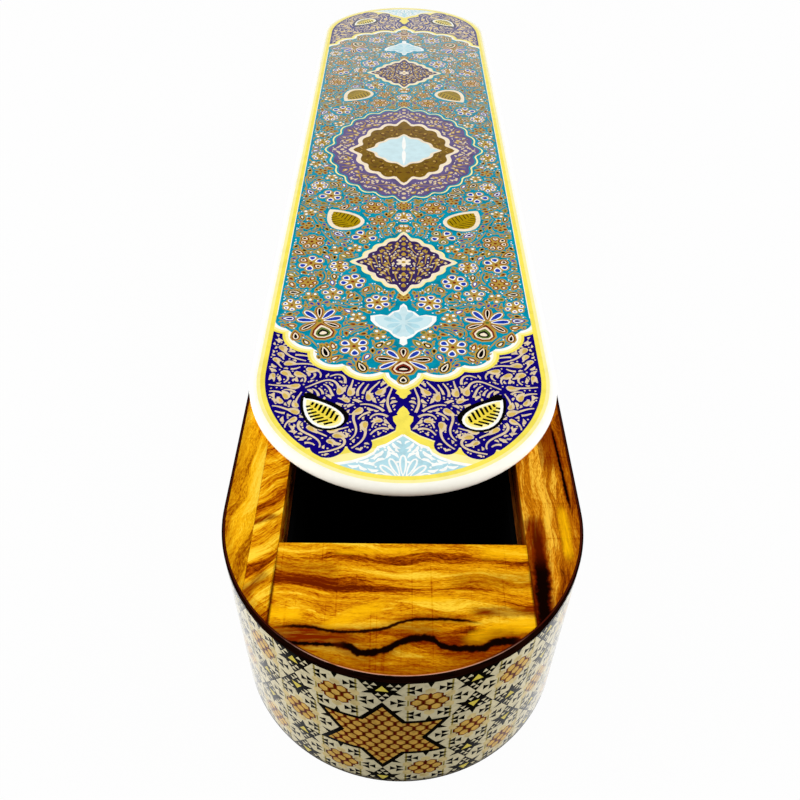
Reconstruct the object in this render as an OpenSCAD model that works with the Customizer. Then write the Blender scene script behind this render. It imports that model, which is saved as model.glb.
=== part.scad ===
// Pen box with round ends, a marquetry wall and a sliding painted lid.
// The origin is the centre of the underside, +Y runs to the rear and +Z is up.
// The lid is drawn slid back by lid_open, so the front of the tray shows.

/* [Box] */
// Overall length of the box, over the wall covering
box_len = 250; // [180:1:320]
// Overall width of the box, which is also the diameter of its round ends
box_w = 60; // [54:0.5:90]
// Height of the box up to its rim
box_h = 37; // [26:0.5:60]
// Thickness of the bottom board
base_t = 4; // [2:0.5:8]

/* [Wall covering] */
// Thickness of the marquetry veneer and of both edgings
veneer_t = 0.55; // [0.4:0.05:1.5]
// Height of the dark edging along the rim
rim_edging_h = 1.75; // [1:0.05:4]
// Height of the dark edging along the foot
foot_edging_h = 0.45; // [0.3:0.05:2]

/* [Tray] */
// Width of the tray between the inner rails
tray_w = 40; // [30:0.5:46]
// Length of each end block on the centre line, over the wall covering
end_block_len = 23; // [14:0.5:45]
// Thickness of each inner rail and of the guide lip above it
inner_rail_t = 4.5; // [3.5:0.1:7]
// Thickness of the velvet panels that line the tray
velvet_t = 0.8; // [0.4:0.1:2]
// Bare wood left between the top of a velvet wall and the guide slot
velvet_margin = 0.4; // [0.2:0.1:3]

/* [Lid] */
// Thickness of the lid plate
lid_t = 2.4; // [1.6:0.1:6]
// How far the edge of the lid stays inside the outline of the box
lid_inset = 0.1; // [0:0.05:1]
// How far the lid is slid back from its closed place
lid_open = 32; // [0:0.5:110]
// Flats in each quarter of the half-round edge of the lid
edge_steps = 4; // [2:1:6]

/* [Runner] */
// Height of the guide lips, which is also the height of the runner block
lip_h = 5; // [3:0.1:9]
// Thickness of the runner tongue that slides under the guide lips
tongue_t = 2; // [1.2:0.1:4]
// Space left beyond each edge of the tongue, at the back of its guide slot
tongue_play = 1; // [0.3:0.1:1.5]
// Length of the runner, which leaves the rest of the tray as its travel
runner_len = 84; // [50:1:120]
// Sideways play of the runner in the tray, on each side
runner_play = 0.4; // [0.2:0.05:1]
// Play above and below each sliding face
slide_play = 0.1; // [0.05:0.05:0.3]

/* [Hidden] */
$fn = 96;
// How far a cutting solid runs past the faces that it cuts
overcut = 1;
// Radius of the round ends and the place of their centres
end_r = box_w / 2;
end_y = box_len / 2 - end_r;
core_r = end_r - veneer_t;
// The tray and the boards beside it
tray_half_w = tray_w / 2;
tray_half_len = box_len / 2 - end_block_len;
rail_joint_x = tray_half_w + inner_rail_t;
// Heights of the guide slot in the inner rails
slot_h = tongue_t + 2 * slide_play;
slot_top = box_h - lip_h;
slot_floor = slot_top - slot_h;
// Heights of the marquetry band
band_low = foot_edging_h;
band_high = box_h - rim_edging_h;
// The velvet walls stand on the velvet floor
velvet_low = base_t + velvet_t;
velvet_high = slot_floor - velvet_margin;
// The lid and its runner
lid_r = end_r - lid_inset;
lid_low = box_h + slide_play;
edge_r = lid_t / 2;
runner_front = lid_open - tray_half_len;
wood_light = "goldenrod";
wood_dark = "peru";
edging_dark = [0.14, 0.07, 0.04];
marquetry = [0.80, 0.74, 0.58];
velvet_black = [0.03, 0.03, 0.03];
ivory = [0.95, 0.92, 0.82];

// A box between two corners
module slab(low, high) {
    translate(low) cube(high - low);
}

// The half of a round end that lies beyond its centre, at the front
module front_half_disc(r, z0, z1) {
    intersection() {
        translate([0, -end_y, z0]) cylinder(r = r, h = z1 - z0);
        slab([-box_w, -box_len, z0], [box_w, -end_y, z1]);
    }
}

// A solid copied to both ends of the box
module both_ends() {
    children();
    mirror([0, 1, 0]) children();
}

// A long board on the right-hand side whose ends follow the round ends
module side_board(x0, x1, z0, z1) {
    union() {
        slab([x0, -end_y, z0], [min(x1, core_r), end_y, z1]);
        both_ends() intersection() {
            front_half_disc(core_r, z0, z1);
            slab([x0, -box_len, z0], [x1, -end_y, z1]);
        }
    }
}

// A piece between the front of the tray and the round end, from x0 to x1
module end_piece(x0, x1, z0, z1) {
    union() {
        intersection() {
            front_half_disc(core_r, z0, z1);
            slab([x0, -box_len, z0], [x1, min(-end_y, -tray_half_len), z1]);
        }
        if (tray_half_len < end_y)
            slab([x0, -end_y, z0], [x1, -tray_half_len, z1]);
    }
}

// The block that closes the front of the tray
module end_block() {
    end_piece(-tray_half_w, tray_half_w, base_t, box_h);
}

// The packer that carries the front of the right-hand guide lip and stops its slot
module slot_packer() {
    end_piece(tray_half_w, rail_joint_x, slot_floor, slot_top);
}

// A strip of the wall covering round the front end
module front_wrap(z0, z1) {
    difference() {
        front_half_disc(end_r, z0, z1);
        translate([0, -end_y, z0 - overcut]) cylinder(r = core_r, h = z1 - z0 + 2 * overcut);
    }
}

// A strip of the wall covering along the right-hand side
module side_strip(z0, z1) {
    slab([core_r, -end_y, z0], [end_r, end_y, z1]);
}

// A velvet panel against the right-hand wall of the tray
module velvet_side() {
    slab([tray_half_w - velvet_t, -tray_half_len, velvet_low], [tray_half_w, tray_half_len, velvet_high]);
}

// A velvet panel against the front end block
module velvet_end() {
    half = tray_half_w - velvet_t;
    slab([-half, -tray_half_len, velvet_low], [half, velvet_t - tray_half_len, velvet_high]);
}

// Half of the lid's section, from its centre line out to the half-round edge
function lid_section() = concat(
    [[0, 0]],
    [for (i = [-edge_steps : edge_steps])
        let (a = 90 * i / edge_steps)
        [lid_r - edge_r + edge_r * cos(a), edge_r + edge_r * sin(a)]],
    [[0, lid_t]]
);

module lid_end() {
    translate([0, -end_y, 0]) rotate([0, 0, 180]) rotate_extrude(angle = 180) polygon(lid_section());
}

module lid_middle() {
    section = lid_section();
    mirrored = [for (i = [len(section) - 2 : -1 : 1]) [-section[i][0], section[i][1]]];
    outline = concat([for (i = [1 : len(section) - 2]) section[i]], mirrored);
    translate([0, end_y, 0]) rotate([90, 0, 0]) linear_extrude(height = 2 * end_y) polygon(outline);
}

module base_board() {
    color(wood_dark) union() {
        slab([-core_r, -end_y, 0], [core_r, end_y, base_t]);
        both_ends() front_half_disc(core_r, 0, base_t);
    }
}

module front_end_block() { color(wood_light) end_block(); }
module rear_end_block() { color(wood_light) mirror([0, 1, 0]) end_block(); }

module right_outer_rail() { color(wood_light) side_board(rail_joint_x, end_r, base_t, box_h); }
module left_outer_rail() { color(wood_light) mirror([1, 0, 0]) side_board(rail_joint_x, end_r, base_t, box_h); }

module right_inner_rail() { color(wood_dark) side_board(tray_half_w, rail_joint_x, base_t, slot_floor); }
module left_inner_rail() {
    color(wood_dark) mirror([1, 0, 0]) side_board(tray_half_w, rail_joint_x, base_t, slot_floor);
}

module right_guide_lip() { color(wood_dark) side_board(tray_half_w, rail_joint_x, slot_top, box_h); }
module left_guide_lip() {
    color(wood_dark) mirror([1, 0, 0]) side_board(tray_half_w, rail_joint_x, slot_top, box_h);
}

module front_right_packer() { color(wood_dark) slot_packer(); }
module front_left_packer() { color(wood_dark) mirror([1, 0, 0]) slot_packer(); }
module rear_right_packer() { color(wood_dark) mirror([0, 1, 0]) slot_packer(); }
module rear_left_packer() { color(wood_dark) mirror([1, 0, 0]) mirror([0, 1, 0]) slot_packer(); }

module khatam_front() { color(marquetry) front_wrap(band_low, band_high); }
module khatam_rear() { color(marquetry) mirror([0, 1, 0]) front_wrap(band_low, band_high); }
module khatam_right() { color(marquetry) side_strip(band_low, band_high); }
module khatam_left() { color(marquetry) mirror([1, 0, 0]) side_strip(band_low, band_high); }

module rim_edging_front() { color(edging_dark) front_wrap(band_high, box_h); }
module rim_edging_rear() { color(edging_dark) mirror([0, 1, 0]) front_wrap(band_high, box_h); }
module rim_edging_right() { color(edging_dark) side_strip(band_high, box_h); }
module rim_edging_left() { color(edging_dark) mirror([1, 0, 0]) side_strip(band_high, box_h); }

module foot_edging_front() { color(edging_dark) front_wrap(0, band_low); }
module foot_edging_rear() { color(edging_dark) mirror([0, 1, 0]) front_wrap(0, band_low); }
module foot_edging_right() { color(edging_dark) side_strip(0, band_low); }
module foot_edging_left() { color(edging_dark) mirror([1, 0, 0]) side_strip(0, band_low); }

module velvet_floor() {
    color(velvet_black)
        slab([-tray_half_w, -tray_half_len, base_t], [tray_half_w, tray_half_len, velvet_low]);
}
module velvet_right_wall() { color(velvet_black) velvet_side(); }
module velvet_left_wall() { color(velvet_black) mirror([1, 0, 0]) velvet_side(); }
module velvet_front_wall() { color(velvet_black) velvet_end(); }
module velvet_rear_wall() { color(velvet_black) mirror([0, 1, 0]) velvet_end(); }

module lid_plate() {
    color(ivory) translate([0, lid_open, lid_low]) union() {
        lid_middle();
        both_ends() lid_end();
    }
}

// The block glued under the lid fills the gap between the guide lips
module runner_block() {
    half = tray_half_w - runner_play;
    low = slot_top - slide_play;
    color(wood_dark) slab([-half, runner_front, low], [half, runner_front + runner_len, lid_low]);
}

// The tongue glued under the block reaches into both guide slots
module runner_tongue() {
    half = rail_joint_x - tongue_play;
    high = slot_top - slide_play;
    color(wood_dark) slab([-half, runner_front, high - tongue_t], [half, runner_front + runner_len, high]);
}

base_board();
front_end_block();
rear_end_block();
left_outer_rail();
right_outer_rail();
left_inner_rail();
right_inner_rail();
left_guide_lip();
right_guide_lip();
front_left_packer();
front_right_packer();
rear_left_packer();
rear_right_packer();
khatam_front();
khatam_rear();
khatam_left();
khatam_right();
rim_edging_front();
rim_edging_rear();
rim_edging_left();
rim_edging_right();
foot_edging_front();
foot_edging_rear();
foot_edging_left();
foot_edging_right();
velvet_floor();
velvet_left_wall();
velvet_right_wall();
velvet_front_wall();
velvet_rear_wall();
lid_plate();
runner_block();
runner_tongue();
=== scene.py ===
"""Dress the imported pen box: khatam wall, figured wood, velvet tray and painted sliding lid."""
import logging
import math
import random
from collections.abc import Callable, Sequence
from dataclasses import dataclass, field, replace
from enum import Enum

import bmesh
import bpy
from mathutils import Matrix, Vector, noise
from mathutils.geometry import delaunay_2d_cdt


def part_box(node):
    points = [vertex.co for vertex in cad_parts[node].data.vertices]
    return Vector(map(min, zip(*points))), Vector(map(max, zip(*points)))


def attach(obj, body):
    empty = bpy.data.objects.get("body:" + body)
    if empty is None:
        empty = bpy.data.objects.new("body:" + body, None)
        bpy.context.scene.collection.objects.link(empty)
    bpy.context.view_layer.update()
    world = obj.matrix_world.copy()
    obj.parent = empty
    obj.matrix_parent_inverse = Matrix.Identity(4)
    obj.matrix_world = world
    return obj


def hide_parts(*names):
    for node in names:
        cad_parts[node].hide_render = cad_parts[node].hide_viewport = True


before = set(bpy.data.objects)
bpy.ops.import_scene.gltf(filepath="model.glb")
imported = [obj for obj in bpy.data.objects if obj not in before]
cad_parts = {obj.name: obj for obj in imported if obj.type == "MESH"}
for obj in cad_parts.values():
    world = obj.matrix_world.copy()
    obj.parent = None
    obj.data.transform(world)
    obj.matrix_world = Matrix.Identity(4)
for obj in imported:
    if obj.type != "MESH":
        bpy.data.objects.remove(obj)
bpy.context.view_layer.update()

LOG = logging.getLogger("pen_box")
MM = 0.001
HALF_STRAIGHT = -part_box("khatam_front")[1].y / MM
HALF_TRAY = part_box("front_end_block")[1].x / MM
SIXTHS = range(0, 360, 60)
THIRDS = range(0, 360, 120)
HALF_SIXTH = 30

Point = tuple[float, float]
Outline = list[Point]
Colour = tuple[float, float, float, float]
Stops = tuple[tuple[float, Colour], ...]


def srgb(red: int, green: int, blue: int) -> Colour:
    """Give the linear colour of an sRGB one.

    Args:
        red: Red, from 0 to 255.
        green: Green, from 0 to 255.
        blue: Blue, from 0 to 255.

    Returns:
        The linear colour, with full alpha.
    """
    shares = [part / 255 for part in (red, green, blue)]
    linear = [s / 12.92 if s <= 0.04045 else ((s + 0.055) / 1.055) ** 2.4 for s in shares]
    return linear[0], linear[1], linear[2], 1.0


def shaded(colour: Colour, share: float) -> Colour:
    """Give a colour made darker or lighter by a share of itself."""
    return colour[0] * share, colour[1] * share, colour[2] * share, 1.0


# Shader maths


class Value:
    """A number socket for Python expressions: each operator adds one Math node."""

    def __init__(self, bench: "Bench", socket: bpy.types.NodeSocket) -> None:
        """Hold a socket and the bench that it belongs to."""
        self.bench = bench
        self.socket = socket

    def work(self, operation: str, *terms: "Number") -> "Value":
        """Add a Math node over some terms."""
        node = self.bench.node("ShaderNodeMath", {"operation": operation}, dict(enumerate(terms)))
        return Value(self.bench, node.outputs[0])

    def __add__(self, other: "Number") -> "Value":
        """Add."""
        return self.work("ADD", self, other)

    __radd__ = __add__

    def __sub__(self, other: "Number") -> "Value":
        """Subtract."""
        return self.work("SUBTRACT", self, other)

    def __rsub__(self, other: "Number") -> "Value":
        """Subtract from a number."""
        return self.work("SUBTRACT", other, self)

    def __mul__(self, other: "Number") -> "Value":
        """Multiply."""
        return self.work("MULTIPLY", self, other)

    __rmul__ = __mul__

    def __abs__(self) -> "Value":
        """Drop the sign."""
        return self.work("ABSOLUTE", self)

    def fraction(self) -> "Value":
        """Give the part past the whole number."""
        return self.work("FRACT", self)

    def root(self) -> "Value":
        """Take the square root."""
        return self.work("SQRT", self)

    def rise(self, low: "Number", high: "Number") -> "Value":
        """Step smoothly from 0 at low to 1 at high."""
        settings = {"interpolation_type": "SMOOTHSTEP"}
        sockets = {"Value": self, "From Min": low, "From Max": high}
        return Value(self.bench, self.bench.node("ShaderNodeMapRange", settings, sockets).outputs[0])


Number = Value | float


class Bench:
    """A node tree on which a finish is put together."""

    def __init__(self, owner: bpy.types.Material | bpy.types.World) -> None:
        """Empty the owner's node tree.

        Args:
            owner: The material or world that holds the tree.
        """
        owner.use_nodes = True
        self.owner = owner
        self.tree = owner.node_tree
        self.tree.nodes.clear()

    @classmethod
    def named(cls, name: str) -> "Bench":
        """Start a new material of that name."""
        return cls(bpy.data.materials.new(name))

    def node(self, kind: str, settings: dict | None = None, sockets: dict | None = None) -> bpy.types.Node:
        """Add a node.

        Args:
            kind: The node's type.
            settings: Its properties, the stops of its ramp or the path of its curve, set first.
            sockets: Values or links of its inputs, by name or place.

        Returns:
            The node.
        """
        node = self.tree.nodes.new(kind)
        for name, setting in (settings or {}).items():
            if name == "stops":
                self.set_stops(node.color_ramp, setting)
            elif name == "path":
                self.set_path(node.mapping, setting)
            else:
                setattr(node, name, setting)
        for key, value in (sockets or {}).items():
            source = value.socket if isinstance(value, Value) else value
            if isinstance(source, bpy.types.NodeSocket):
                self.tree.links.new(source, node.inputs[key])
            else:
                node.inputs[key].default_value = source
        return node

    @staticmethod
    def set_stops(ramp: bpy.types.ColorRamp, stops: Stops) -> None:
        """Give a ramp its stops.

        Args:
            ramp: The ramp, which starts with two stops.
            stops: Place and colour of each stop, in order.
        """
        for _ in stops[2:]:
            ramp.elements.new(1.0)
        for element, (place, colour) in zip(ramp.elements, stops):
            element.position = place
            element.color = colour

    @staticmethod
    def set_path(mapping: bpy.types.CurveMapping, path: Sequence[Point]) -> None:
        """Lead a curve through points.

        Args:
            mapping: The curve, which starts with two points.
            path: The points, from left to right.
        """
        points = mapping.curves[0].points
        for _ in path[2:]:
            points.new(1.0, 1.0)
        for point, place in zip(points, path):
            point.location = place
        mapping.update()

    def place(self) -> tuple[Value, Value, Value]:
        """Give a surface point's X, Y and Z on the object, in millimetres."""
        spot = self.node("ShaderNodeTexCoord").outputs["Object"]
        parts = self.node("ShaderNodeSeparateXYZ", sockets={0: spot})
        return tuple(Value(self, part) * (1 / MM) for part in parts.outputs)

    def from_spine(self) -> Value:
        """Give the distance from the line between the middles of the round ends."""
        x, y, _ = self.place()
        beyond = abs(y) - HALF_STRAIGHT
        past = beyond.rise(0.0, 0.1) * beyond
        return (x * x + past * past).root()

    def edge_on(self) -> Value:
        """Say how edge-on the surface is seen, for gloss."""
        return Value(self, self.node("ShaderNodeLayerWeight", sockets={"Blend": 0.5}).outputs["Facing"])

    def curve(self, share: Value, path: Sequence[Point]) -> Value:
        """Read a curve through points, all from 0 to 1."""
        return Value(self, self.node("ShaderNodeFloatCurve", {"path": path}, {"Value": share}).outputs[0])

    def cloud(self, x: Number, y: Number, z: Number, detail: float = 2.0) -> Value:
        """Give smooth noise.

        Args:
            x: First coordinate, already scaled.
            y: Second coordinate, already scaled.
            z: Third coordinate, already scaled.
            detail: Octaves of the noise.

        Returns:
            The noise, from 0 to 1.
        """
        spot = self.node("ShaderNodeCombineXYZ", sockets={0: x, 1: y, 2: z}).outputs[0]
        sockets = {"Vector": spot, "Scale": 1.0, "Detail": detail}
        return Value(self, self.node("ShaderNodeTexNoise", sockets=sockets).outputs[0])

    def ramp(self, amount: Value, stops: Stops) -> bpy.types.NodeSocket:
        """Colour an amount by a ramp's stops."""
        return self.node("ShaderNodeValToRGB", {"stops": stops}, {0: amount}).outputs[0]

    def mix(self, share: Number, first: object, second: object) -> bpy.types.NodeSocket:
        """Blend two colours or colour sockets, with a share of the second."""
        sockets = {0: share, 6: first, 7: second}
        return self.node("ShaderNodeMix", {"data_type": "RGBA"}, sockets).outputs[2]

    def relief(self, height: Value, strength: float, depth: float) -> bpy.types.NodeSocket:
        """Turn a height into a normal, with the depth in millimetres."""
        sockets = {"Strength": strength, "Distance": depth * MM, "Height": height}
        return self.node("ShaderNodeBump", sockets=sockets).outputs[0]

    def surface(self, **sockets: object) -> bpy.types.Material:
        """Close the material with a Principled shader.

        Args:
            **sockets: The shader's inputs, with underscores for spaces.

        Returns:
            The finished material.
        """
        named = {name.replace("_", " "): value for name, value in sockets.items()}
        shader = self.node("ShaderNodeBsdfPrincipled", sockets=named)
        self.close(shader.outputs[0])
        return self.owner

    def close(self, shader: bpy.types.NodeSocket) -> None:
        """Lead a shader to the tree's output."""
        kind = "World" if isinstance(self.owner, bpy.types.World) else "Material"
        self.node(f"ShaderNodeOutput{kind}", sockets={"Surface": shader})


# Finishes


GOLDEN: Stops = (
    (0.12, srgb(96, 26, 0)),
    (0.30, srgb(162, 74, 0)),
    (0.44, srgb(208, 128, 6)),
    (0.60, srgb(234, 168, 12)),
    (0.82, srgb(254, 208, 56)),
)
YELLOW: Stops = (
    (0.14, srgb(142, 66, 0)),
    (0.38, srgb(220, 148, 8)),
    (0.58, srgb(246, 184, 20)),
    (0.82, srgb(252, 212, 66)),
)
HONEY: Stops = (
    (0.14, srgb(84, 26, 0)),
    (0.40, srgb(162, 82, 4)),
    (0.60, srgb(206, 126, 10)),
    (0.82, srgb(242, 186, 54)),
)
# Dark wood of the hidden boards; on the inner rails its darkness is also painted shade inside the tray.
BROWN: Stops = (
    (0.20, srgb(44, 16, 4)),
    (0.45, srgb(96, 44, 10)),
    (0.80, srgb(150, 84, 26)),
)
HEART = srgb(14, 3, 1)
EMBER = srgb(74, 14, 0)
HALO = srgb(118, 32, 0)
GLOW = srgb(252, 188, 8)


@dataclass(frozen=True)
class Streak:
    """A dark vein that runs with the grain, led through points in millimetres along and across it."""

    path: tuple[Point, ...]
    half_width: float
    halo: float = 1.6
    halo_share: float = 0.7
    taper: float = 4.0
    core_share: float = 1.0
    ember: float = 0.2
    tint: Colour = HALO

    def stain(
        self, bench: Bench, colour: bpy.types.NodeSocket, along: Value, across: Value
    ) -> bpy.types.NodeSocket:
        """Darken a wood colour along the vein.

        Args:
            bench: The wood's bench.
            colour: The wood's colour so far.
            along: Place along the grain.
            across: Place across the grain.

        Returns:
            The colour with the vein in it.
        """
        start, end = self.path[0][0], self.path[-1][0]
        sides = [side for _, side in self.path]
        low, climb = min(sides), max(sides) - min(sides)
        shares = [((place - start) / (end - start), (side - low) / climb) for place, side in self.path]
        middle = bench.curve((along - start) * (1 / (end - start)), shares) * climb + low
        rough = bench.cloud(along * 1.2, across * 1.2, start, 3.0) - 0.5
        swell = bench.cloud(along * 0.3, low, start, 2.0)
        feather = bench.cloud(along * 0.3, across * 2.6, low, 3.0) - 0.5
        off = abs(across - middle + rough * (self.half_width + 0.3))
        ends = along.rise(start, start + self.taper) * (1 - along.rise(end - self.taper, end))
        width = (swell * self.half_width + self.half_width * 0.5) * (ends * 0.6 + 0.4)
        veil = 1 - (off + feather * self.halo).rise(width * 0.6, width + self.halo)
        stained = bench.mix(veil * ends * (feather * 1.6 + 0.9) * self.halo_share, colour, self.tint)
        if self.ember:
            near = (1 - off.rise(width * 0.8, width + self.ember)) * ends * 0.9
            stained = bench.mix(near, stained, EMBER)
        if self.core_share:
            core = (1 - off.rise(width * 0.6, width * 1.1)) * ends * self.core_share
            stained = bench.mix(core, stained, HEART)
        return stained

    @classmethod
    def wash(
        cls,
        path: tuple[Point, ...],
        half_width: float,
        halo: float,
        share: float,
        tint: Colour = HALO,
        taper: float = 3.0,
    ) -> "Streak":
        """Make a soft patch of colour with no dark core, which fades over its halo and its taper."""
        return cls(path, half_width, halo, share, taper, 0.0, 0.0, tint)


class Figure(Enum):
    """Layers of a wood's figure: scale along the grain, scale across it, and octaves."""

    DRIFT = (0.07, 0.1, 2.0)
    PATCH = (0.035, 0.34, 3.0)
    FORCE = (0.08, 0.2, 2.0)
    FLECK = (0.28, 2.2, 4.0)
    FIBRE = (1.6, 9.0, 3.0)
    SAW = (2.2, 0.05, 1.0)
    PORE = (1.3, 6.0, 2.0)

    def layer(self, bench: Bench, along: Value, across: Value, height: Value, seed: float) -> Value:
        """Give the layer's noise at a place on a board, which its seed sets apart from other boards."""
        stretch, fine, detail = self.value
        return bench.cloud(along * stretch, across * fine, height * fine + seed, detail)


@dataclass(frozen=True)
class WoodFinish:
    """Varnished figured wood, its grain at an angle from X in plan, with places in millimetres."""

    name: str
    grain: float
    seed: float
    shades: Stops = GOLDEN
    figure: float = 0.4
    slant: float = 0.0
    streaks: tuple[Streak, ...] = ()
    joints: tuple[float, ...] = ()
    shaded_inner_face: float = 0.0
    sway: float = 6.0
    rings: float = 7.0
    ring_share: float = 0.2
    contrast: float = 1.75
    fibre_share: float = 0.7
    middle_tone: float = 0.49
    saw_share: float = 0.1
    pore_share: float = 0.12
    edge_band: Point = (27.6, 29.4)
    edge_share: float = 0.36
    joint_line: Point = (0.08, 0.42)
    joint_ends: Point = (100.0, 112.0)
    joint_share: float = 0.85

    def material(self) -> bpy.types.Material:
        """Make the wood's patches, flecks, fibres, saw lines, veins and dark joints, and the painted shade on
        a lip's inner face.
        """
        bench = Bench.named(self.name)
        x, y, z = bench.place()
        turn = math.radians(self.grain)
        along = x * math.cos(turn) + y * math.sin(turn)
        across = y * math.cos(turn) - x * math.sin(turn)
        drift = Figure.DRIFT.layer(bench, along, across, z, self.seed) - 0.5
        bent = across + along * self.slant + drift * self.sway
        patch = Figure.PATCH.layer(bench, along, bent, z, self.seed)
        ring = (patch * self.rings).fraction() - 0.5
        force = Figure.FORCE.layer(bench, along, bent, z, -self.seed).rise(0.35, 0.65)
        fleck = Figure.FLECK.layer(bench, along, bent, z, self.seed) - 0.5
        fibre = Figure.FIBRE.layer(bench, along, bent, z, self.seed) - 0.5
        saw = Figure.SAW.layer(bench, along, across, z, -self.seed).rise(0.62, 0.75)
        pore = Figure.PORE.layer(bench, along, across, z, -self.seed).rise(0.56, 0.72)
        tone = (patch - 0.5) * self.contrast - ring * force * self.ring_share + fleck * self.figure
        tone = tone + fibre * self.fibre_share + self.middle_tone
        colour = bench.ramp(tone - saw * self.saw_share - pore * self.pore_share, self.shades)
        colour = bench.mix(bench.from_spine().rise(*self.edge_band) * self.edge_share, colour, HALO)
        for streak in self.streaks:
            colour = streak.stain(bench, colour, along, across)
        for joint in self.joints:
            near = (1 - abs(x - joint).rise(*self.joint_line)) * abs(y).rise(*self.joint_ends)
            colour = bench.mix(near * self.joint_share, colour, EMBER)
        # Painted shade: the wood darkens past the tray side of a guide lip.
        if self.shaded_inner_face:
            shade = 1 - (abs(x) - self.shaded_inner_face).rise(0.02, 0.08)
            colour = bench.mix(shade * 0.8, colour, EMBER)
        return bench.surface(
            Base_Color=colour,
            Roughness=fibre * 0.2 + 0.42,
            Normal=bench.relief(fibre + fleck * 0.5, 0.12, 0.1),
            Specular_IOR_Level=0.0,
            Coat_Weight=bench.edge_on().rise(0.5, 0.95),
            Coat_Roughness=0.2,
        )


@dataclass(frozen=True)
class LacquerFinish:
    """A coloured ground under clear lacquer, mottled in patches of a given size in millimetres."""

    name: str
    colour: Colour
    patch: float = 2.0
    spread: float = 0.12
    roughness: float = 0.5
    metallic: float = 0.0
    shine: Point = (0.48, 0.78)
    fineness: float = 7.0

    def with_foot_shadow(self, bench: Bench, colour: bpy.types.NodeSocket, height: Value) -> bpy.types.NodeSocket:
        """Give the colour with its painted shadow near the floor, at a height in millimetres; plain lacquer
        paints none.
        """
        return colour

    def material(self) -> bpy.types.Material:
        """Make the mottled colour and the lacquer, which shows where it is seen edge-on."""
        bench = Bench.named(self.name)
        x, y, z = bench.place()
        scale = 1 / self.patch
        fine = scale * self.fineness
        patches = bench.cloud(x * scale, y * scale, z * scale, 1.0)
        grains = bench.cloud(x * fine, y * fine, z * fine) - 0.5
        share = patches + grains * 0.5
        stops: Stops = (
            (0.3, shaded(self.colour, 1 - self.spread)),
            (0.5, self.colour),
            (0.7, shaded(self.colour, 1 + self.spread * 0.5)),
        )
        return bench.surface(
            Base_Color=self.with_foot_shadow(bench, bench.ramp(share, stops), z),
            Roughness=grains * 0.15 + self.roughness,
            Metallic=self.metallic,
            Normal=bench.relief(grains, 0.06, 0.05),
            Specular_IOR_Level=0.0,
            Coat_Weight=bench.edge_on().rise(*self.shine),
            Coat_Roughness=0.1,
        )


@dataclass(frozen=True)
class VelvetFinish:
    """Deep black pile that lightens a little where it is brushed."""

    name: str = "velvet_pile"

    def material(self) -> bpy.types.Material:
        """Make the pile's colour, brushed patches and sheen."""
        bench = Bench.named(self.name)
        x, y, z = bench.place()
        brushed = bench.cloud(x * 0.12, y * 0.05, z * 0.12, 3.0)
        pile = bench.cloud(x * 6, y * 6, z * 6, 2.0)
        stops = ((0.3, srgb(2, 2, 3)), (0.7, srgb(8, 8, 9)))
        return bench.surface(
            Base_Color=bench.ramp(brushed * 0.7 + pile * 0.3, stops),
            Roughness=pile * 0.1 + 0.88,
            Normal=bench.relief(pile, 0.4, 0.2),
            Specular_IOR_Level=0.02,
        )


# Outlines


def disc(centre: Point, radius: float, steps: int = 10) -> Outline:
    """Outline a disc."""
    turns = [math.tau * k / steps for k in range(steps)]
    return [(centre[0] + radius * math.cos(t), centre[1] + radius * math.sin(t)) for t in turns]


def bearing(start: Point, end: Point) -> float:
    """Give the direction from one point to another."""
    return math.atan2(end[1] - start[1], end[0] - start[0])


def drop_half(width: float, share: float) -> float:
    """Give half the width of a drop at a share of its length from the tip."""
    return width * 1.3 * share ** 0.9 * math.sqrt(max(0.0, 1 - share))


def drop(tip: Point, end: Point, width: float, bend: float = 0.0, steps: int = 6) -> Outline:
    """Outline a drop, pointed at its tip and round at its end.

    Args:
        tip: The point.
        end: The far side of the round end.
        width: Its greatest width.
        bend: Bow of its middle to the left, as a share of its length.
        steps: Stretches along each side.

    Returns:
        The outline.
    """
    run_x, run_y = end[0] - tip[0], end[1] - tip[1]
    length = math.hypot(run_x, run_y)
    left: Outline = []
    right: Outline = []
    for k in range(steps + 1):
        share = 0.5 - 0.5 * math.cos(math.pi * k / steps)
        half = drop_half(width, share) / length
        bow = bend * 4 * share * (1 - share)
        x, y = tip[0] + run_x * share, tip[1] + run_y * share
        left.append((x - run_y * (bow + half), y + run_x * (bow + half)))
        right.append((x - run_y * (bow - half), y + run_x * (bow - half)))
    return right + left[-2:0:-1]


def ribbon(path: Outline, width: float, taper: float = 0.0) -> Outline:
    """Outline a line of some width along an open path.

    Args:
        path: The points of its middle.
        width: The width at its start.
        taper: The share of that width lost by its end.

    Returns:
        The outline.
    """
    left: Outline = []
    right: Outline = []
    for k, (x, y) in enumerate(path):
        before, after = path[max(k - 1, 0)], path[min(k + 1, len(path) - 1)]
        run_x, run_y = after[0] - before[0], after[1] - before[1]
        half = width * (1 - taper * k / (len(path) - 1)) / 2 / math.hypot(run_x, run_y)
        left.append((x - run_y * half, y + run_x * half))
        right.append((x + run_y * half, y - run_x * half))
    return right + left[::-1]


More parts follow.
